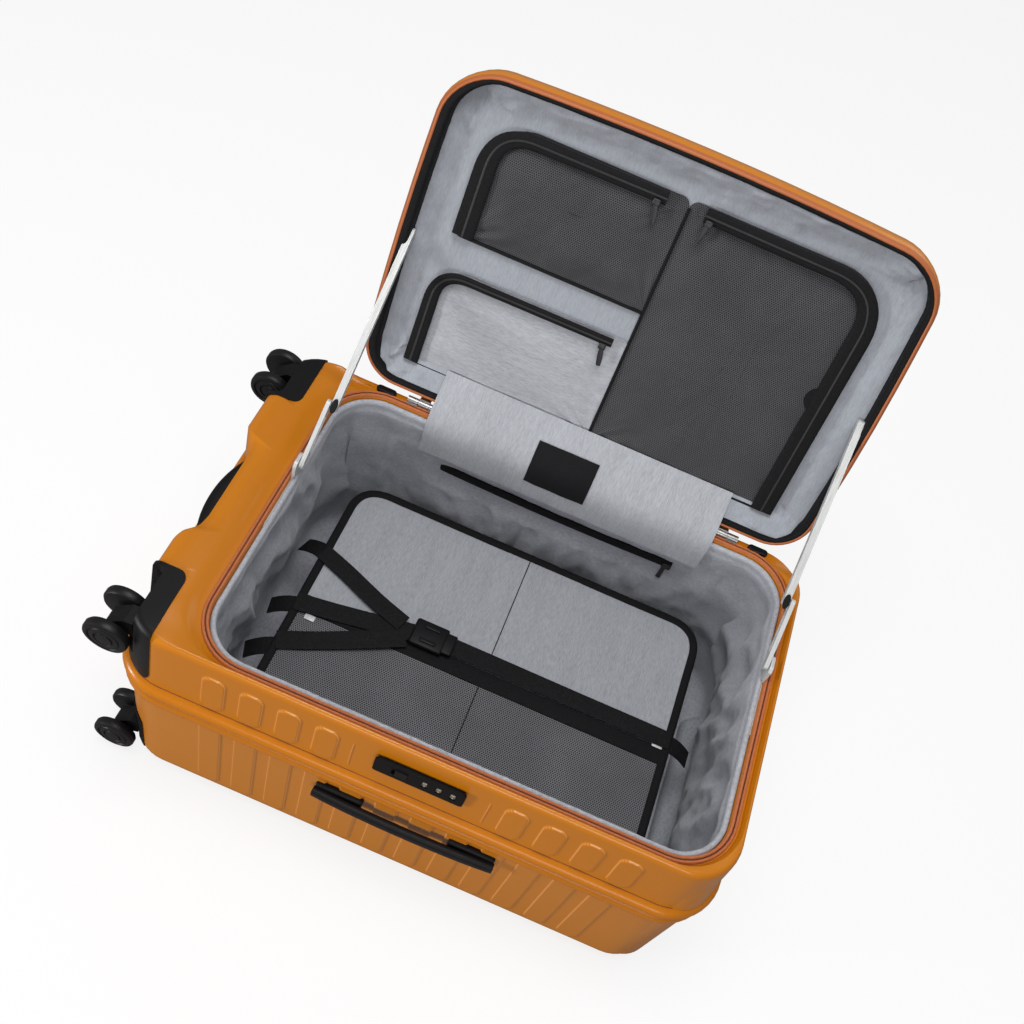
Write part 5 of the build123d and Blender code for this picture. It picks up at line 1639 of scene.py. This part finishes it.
def stage_floor():
    """A pale floor that looks nearly white to the camera and darker to the light it returns."""
    bm = bmesh.new()
    bmesh.ops.create_grid(bm, x_segments=1, y_segments=1, size=4.0)
    material = bpy.data.materials.new("Pale Floor")
    material.use_nodes = True
    tree = material.node_tree
    tree.nodes.clear()
    seen = add_node(tree, "ShaderNodeLightPath").outputs["Is Camera Ray"]
    tone = blend_colour(tree, seen, (0.26, 0.25, 0.24, 1.0), (0.93, 0.93, 0.93, 1.0))
    diffuse = add_node(tree, "ShaderNodeBsdfDiffuse", {"Color": tone}).outputs[0]
    glow = add_node(tree, "ShaderNodeEmission", {"Color": (1.0, 1.0, 1.0, 1.0), "Strength": 1.0}).outputs[0]
    blend = add_node(tree, "ShaderNodeMixShader", {0: multiply(tree, seen, 0.80), 1: diffuse, 2: glow})
    add_node(tree, "ShaderNodeOutputMaterial", {"Surface": blend.outputs[0]})
    MATERIALS[material.name] = material
    floor = finish_mesh(bm, "pale_floor", material.name)
    floor.location.z = -0.0006
    return floor


def stage_world():
    """A soft white room that is plain white behind the case."""
    world = bpy.data.worlds.new("Soft White Room")
    world.use_nodes = True
    tree = world.node_tree
    tree.nodes.clear()
    white = (1.0, 1.0, 1.0, 1.0)
    soft, plain = (
        add_node(tree, "ShaderNodeBackground", {"Color": white, "Strength": strength}).outputs[0]
        for strength in (0.30, 1.0)
    )
    rays = add_node(tree, "ShaderNodeLightPath").outputs
    total = math_node(tree, "ADD", rays["Is Camera Ray"], rays["Is Transmission Ray"], clamp=True)
    blend = add_node(tree, "ShaderNodeMixShader", {0: total, 1: soft, 2: plain})
    add_node(tree, "ShaderNodeOutputWorld", {"Surface": blend.outputs[0]})
    bpy.context.scene.world = world


def stage_camera():
    scene = bpy.context.scene
    scene.view_settings.view_transform = "Standard"
    data = bpy.data.cameras.new("case_camera")
    data.lens = 41.4
    data.sensor_width = 36.0
    data.shift_x, data.shift_y = 0.0004, -0.005
    camera = bpy.data.objects.new("case_camera", data)
    camera.location = (-0.0025, -0.7285, 1.4461)
    look = Vector((-0.0222, 0.1796, 0.25)) - camera.location
    roll = Matrix.Rotation(math.radians(22.37), 4, "Z")
    camera.rotation_euler = (look.to_track_quat("-Z", "Y").to_matrix().to_4x4() @ roll).to_euler()
    scene.collection.objects.link(camera)
    scene.camera = camera


def build_stage():
    floor = stage_floor()
    stage_world()
    lights = [
        area_light("overhead_softbox", (-0.15, -0.20, 2.8), (1.4, 1.4), 45.0),
        area_light("front_softbox", (0.4, -2.8, 0.75), (2.0, 0.7), 26.0),
        area_light("left_softbox", (-2.3, -1.4, 0.46), (0.4, 0.7), 34.0),
        area_light("back_softbox", (1.4, 2.3, 2.0), (1.4, 1.2), 8.0),
    ]
    stage_camera()


# ---------------------------------------------------------------- operators


class SUITCASE_OT_finishes(Operator):
    """Make the finishes and put them on the exact fittings"""
    bl_idname = "suitcase.finishes"
    bl_label = "Finishes"

    def execute(self, context):
        scene = context.scene
        make_materials(scene.suitcase_shell, scene.suitcase_cloth, scene.suitcase_fittings)
        finish_fittings()
        return {"FINISHED"}


class SUITCASE_OT_shells(Operator):
    """Model the rear shell, front frame, zip bead and mouth tape"""
    bl_idname = "suitcase.shells"
    bl_label = "Body Shells"

    def execute(self, context):
        settings = context.scene.suitcase_shell
        rear_shell(settings)
        front_frame(settings)
        zip_bead()
        mouth_tape()
        return {"FINISHED"}


class SUITCASE_OT_lid(Operator):
    """Model the lid shell, its gusset, lining and pockets"""
    bl_idname = "suitcase.lid"
    bl_label = "Lid"

    def execute(self, context):
        lid_shell(context.scene.suitcase_shell)
        lid_gusset()
        lid_lining(context.scene.suitcase_cloth)
        lid_pockets()
        pocket_trims()
        zip_pullers()
        stay_rails()
        return {"FINISHED"}


class SUITCASE_OT_lining(Operator):
    """Model the body lining, wall zip and hinge flap"""
    bl_idname = "suitcase.lining"
    bl_label = "Body Lining"

    def execute(self, context):
        body_lining(context.scene.suitcase_cloth)
        wall_zip()
        hinge_flap()
        return {"FINISHED"}


class SUITCASE_OT_panel(Operator):
    """Model the packing panel with its straps and clip"""
    bl_idname = "suitcase.panel"
    bl_label = "Packing Panel"

    def execute(self, context):
        packing_panel()
        packing_straps(context.scene.suitcase_fittings)
        return {"FINISHED"}


class SUITCASE_OT_casters(Operator):
    """Model the twin wheels of the four casters and the guards round them"""
    bl_idname = "suitcase.casters"
    bl_label = "Casters and Guards"

    def execute(self, context):
        for corner in ("front_near", "front_far", "rear_near", "rear_far"):
            caster_wheels(corner)
        corner_guards()
        return {"FINISHED"}


class SUITCASE_OT_handles(Operator):
    """Model the carry handles, the grab handle and the marks on the lock"""
    bl_idname = "suitcase.handles"
    bl_label = "Handles and Lock"

    def execute(self, context):
        carry_handles()
        grab_handle()
        lock_marks()
        return {"FINISHED"}


class SUITCASE_OT_stage(Operator):
    """Set the floor, lights, world and camera"""
    bl_idname = "suitcase.stage"
    bl_label = "Stage"

    def execute(self, context):
        build_stage()
        return {"FINISHED"}


class SUITCASE_PT_sidebar(Panel):
    """Settings and build steps of the suitcase"""
    bl_label = "Suitcase"
    bl_idname = "SUITCASE_PT_sidebar"
    bl_space_type = "VIEW_3D"
    bl_region_type = "UI"
    bl_category = "Suitcase"

    def draw(self, context):
        scene = context.scene
        for settings in (scene.suitcase_shell, scene.suitcase_cloth, scene.suitcase_fittings):
            for name in settings.__annotations__:
                self.layout.prop(settings, name)
        for step in BUILD_STEPS:
            self.layout.operator(step.bl_idname)


BUILD_STEPS = (
    SUITCASE_OT_finishes,
    SUITCASE_OT_shells,
    SUITCASE_OT_lid,
    SUITCASE_OT_lining,
    SUITCASE_OT_panel,
    SUITCASE_OT_casters,
    SUITCASE_OT_handles,
    SUITCASE_OT_stage,
)
CLASSES = (ShellSettings, ClothSettings, FittingSettings) + BUILD_STEPS + (SUITCASE_PT_sidebar,)


def register():
    for item in CLASSES:
        bpy.utils.register_class(item)
    bpy.types.Scene.suitcase_shell = PointerProperty(type=ShellSettings)
    bpy.types.Scene.suitcase_cloth = PointerProperty(type=ClothSettings)
    bpy.types.Scene.suitcase_fittings = PointerProperty(type=FittingSettings)


def unregister():
    del bpy.types.Scene.suitcase_shell
    del bpy.types.Scene.suitcase_cloth
    del bpy.types.Scene.suitcase_fittings
    for item in reversed(CLASSES):
        bpy.utils.unregister_class(item)


def main():
    register()
    bpy.ops.suitcase.finishes()
    bpy.ops.suitcase.shells()
    bpy.ops.suitcase.lid()
    bpy.ops.suitcase.lining()
    bpy.ops.suitcase.panel()
    bpy.ops.suitcase.casters()
    bpy.ops.suitcase.handles()
    bpy.ops.suitcase.stage()


if __name__ == "__main__":
    main()
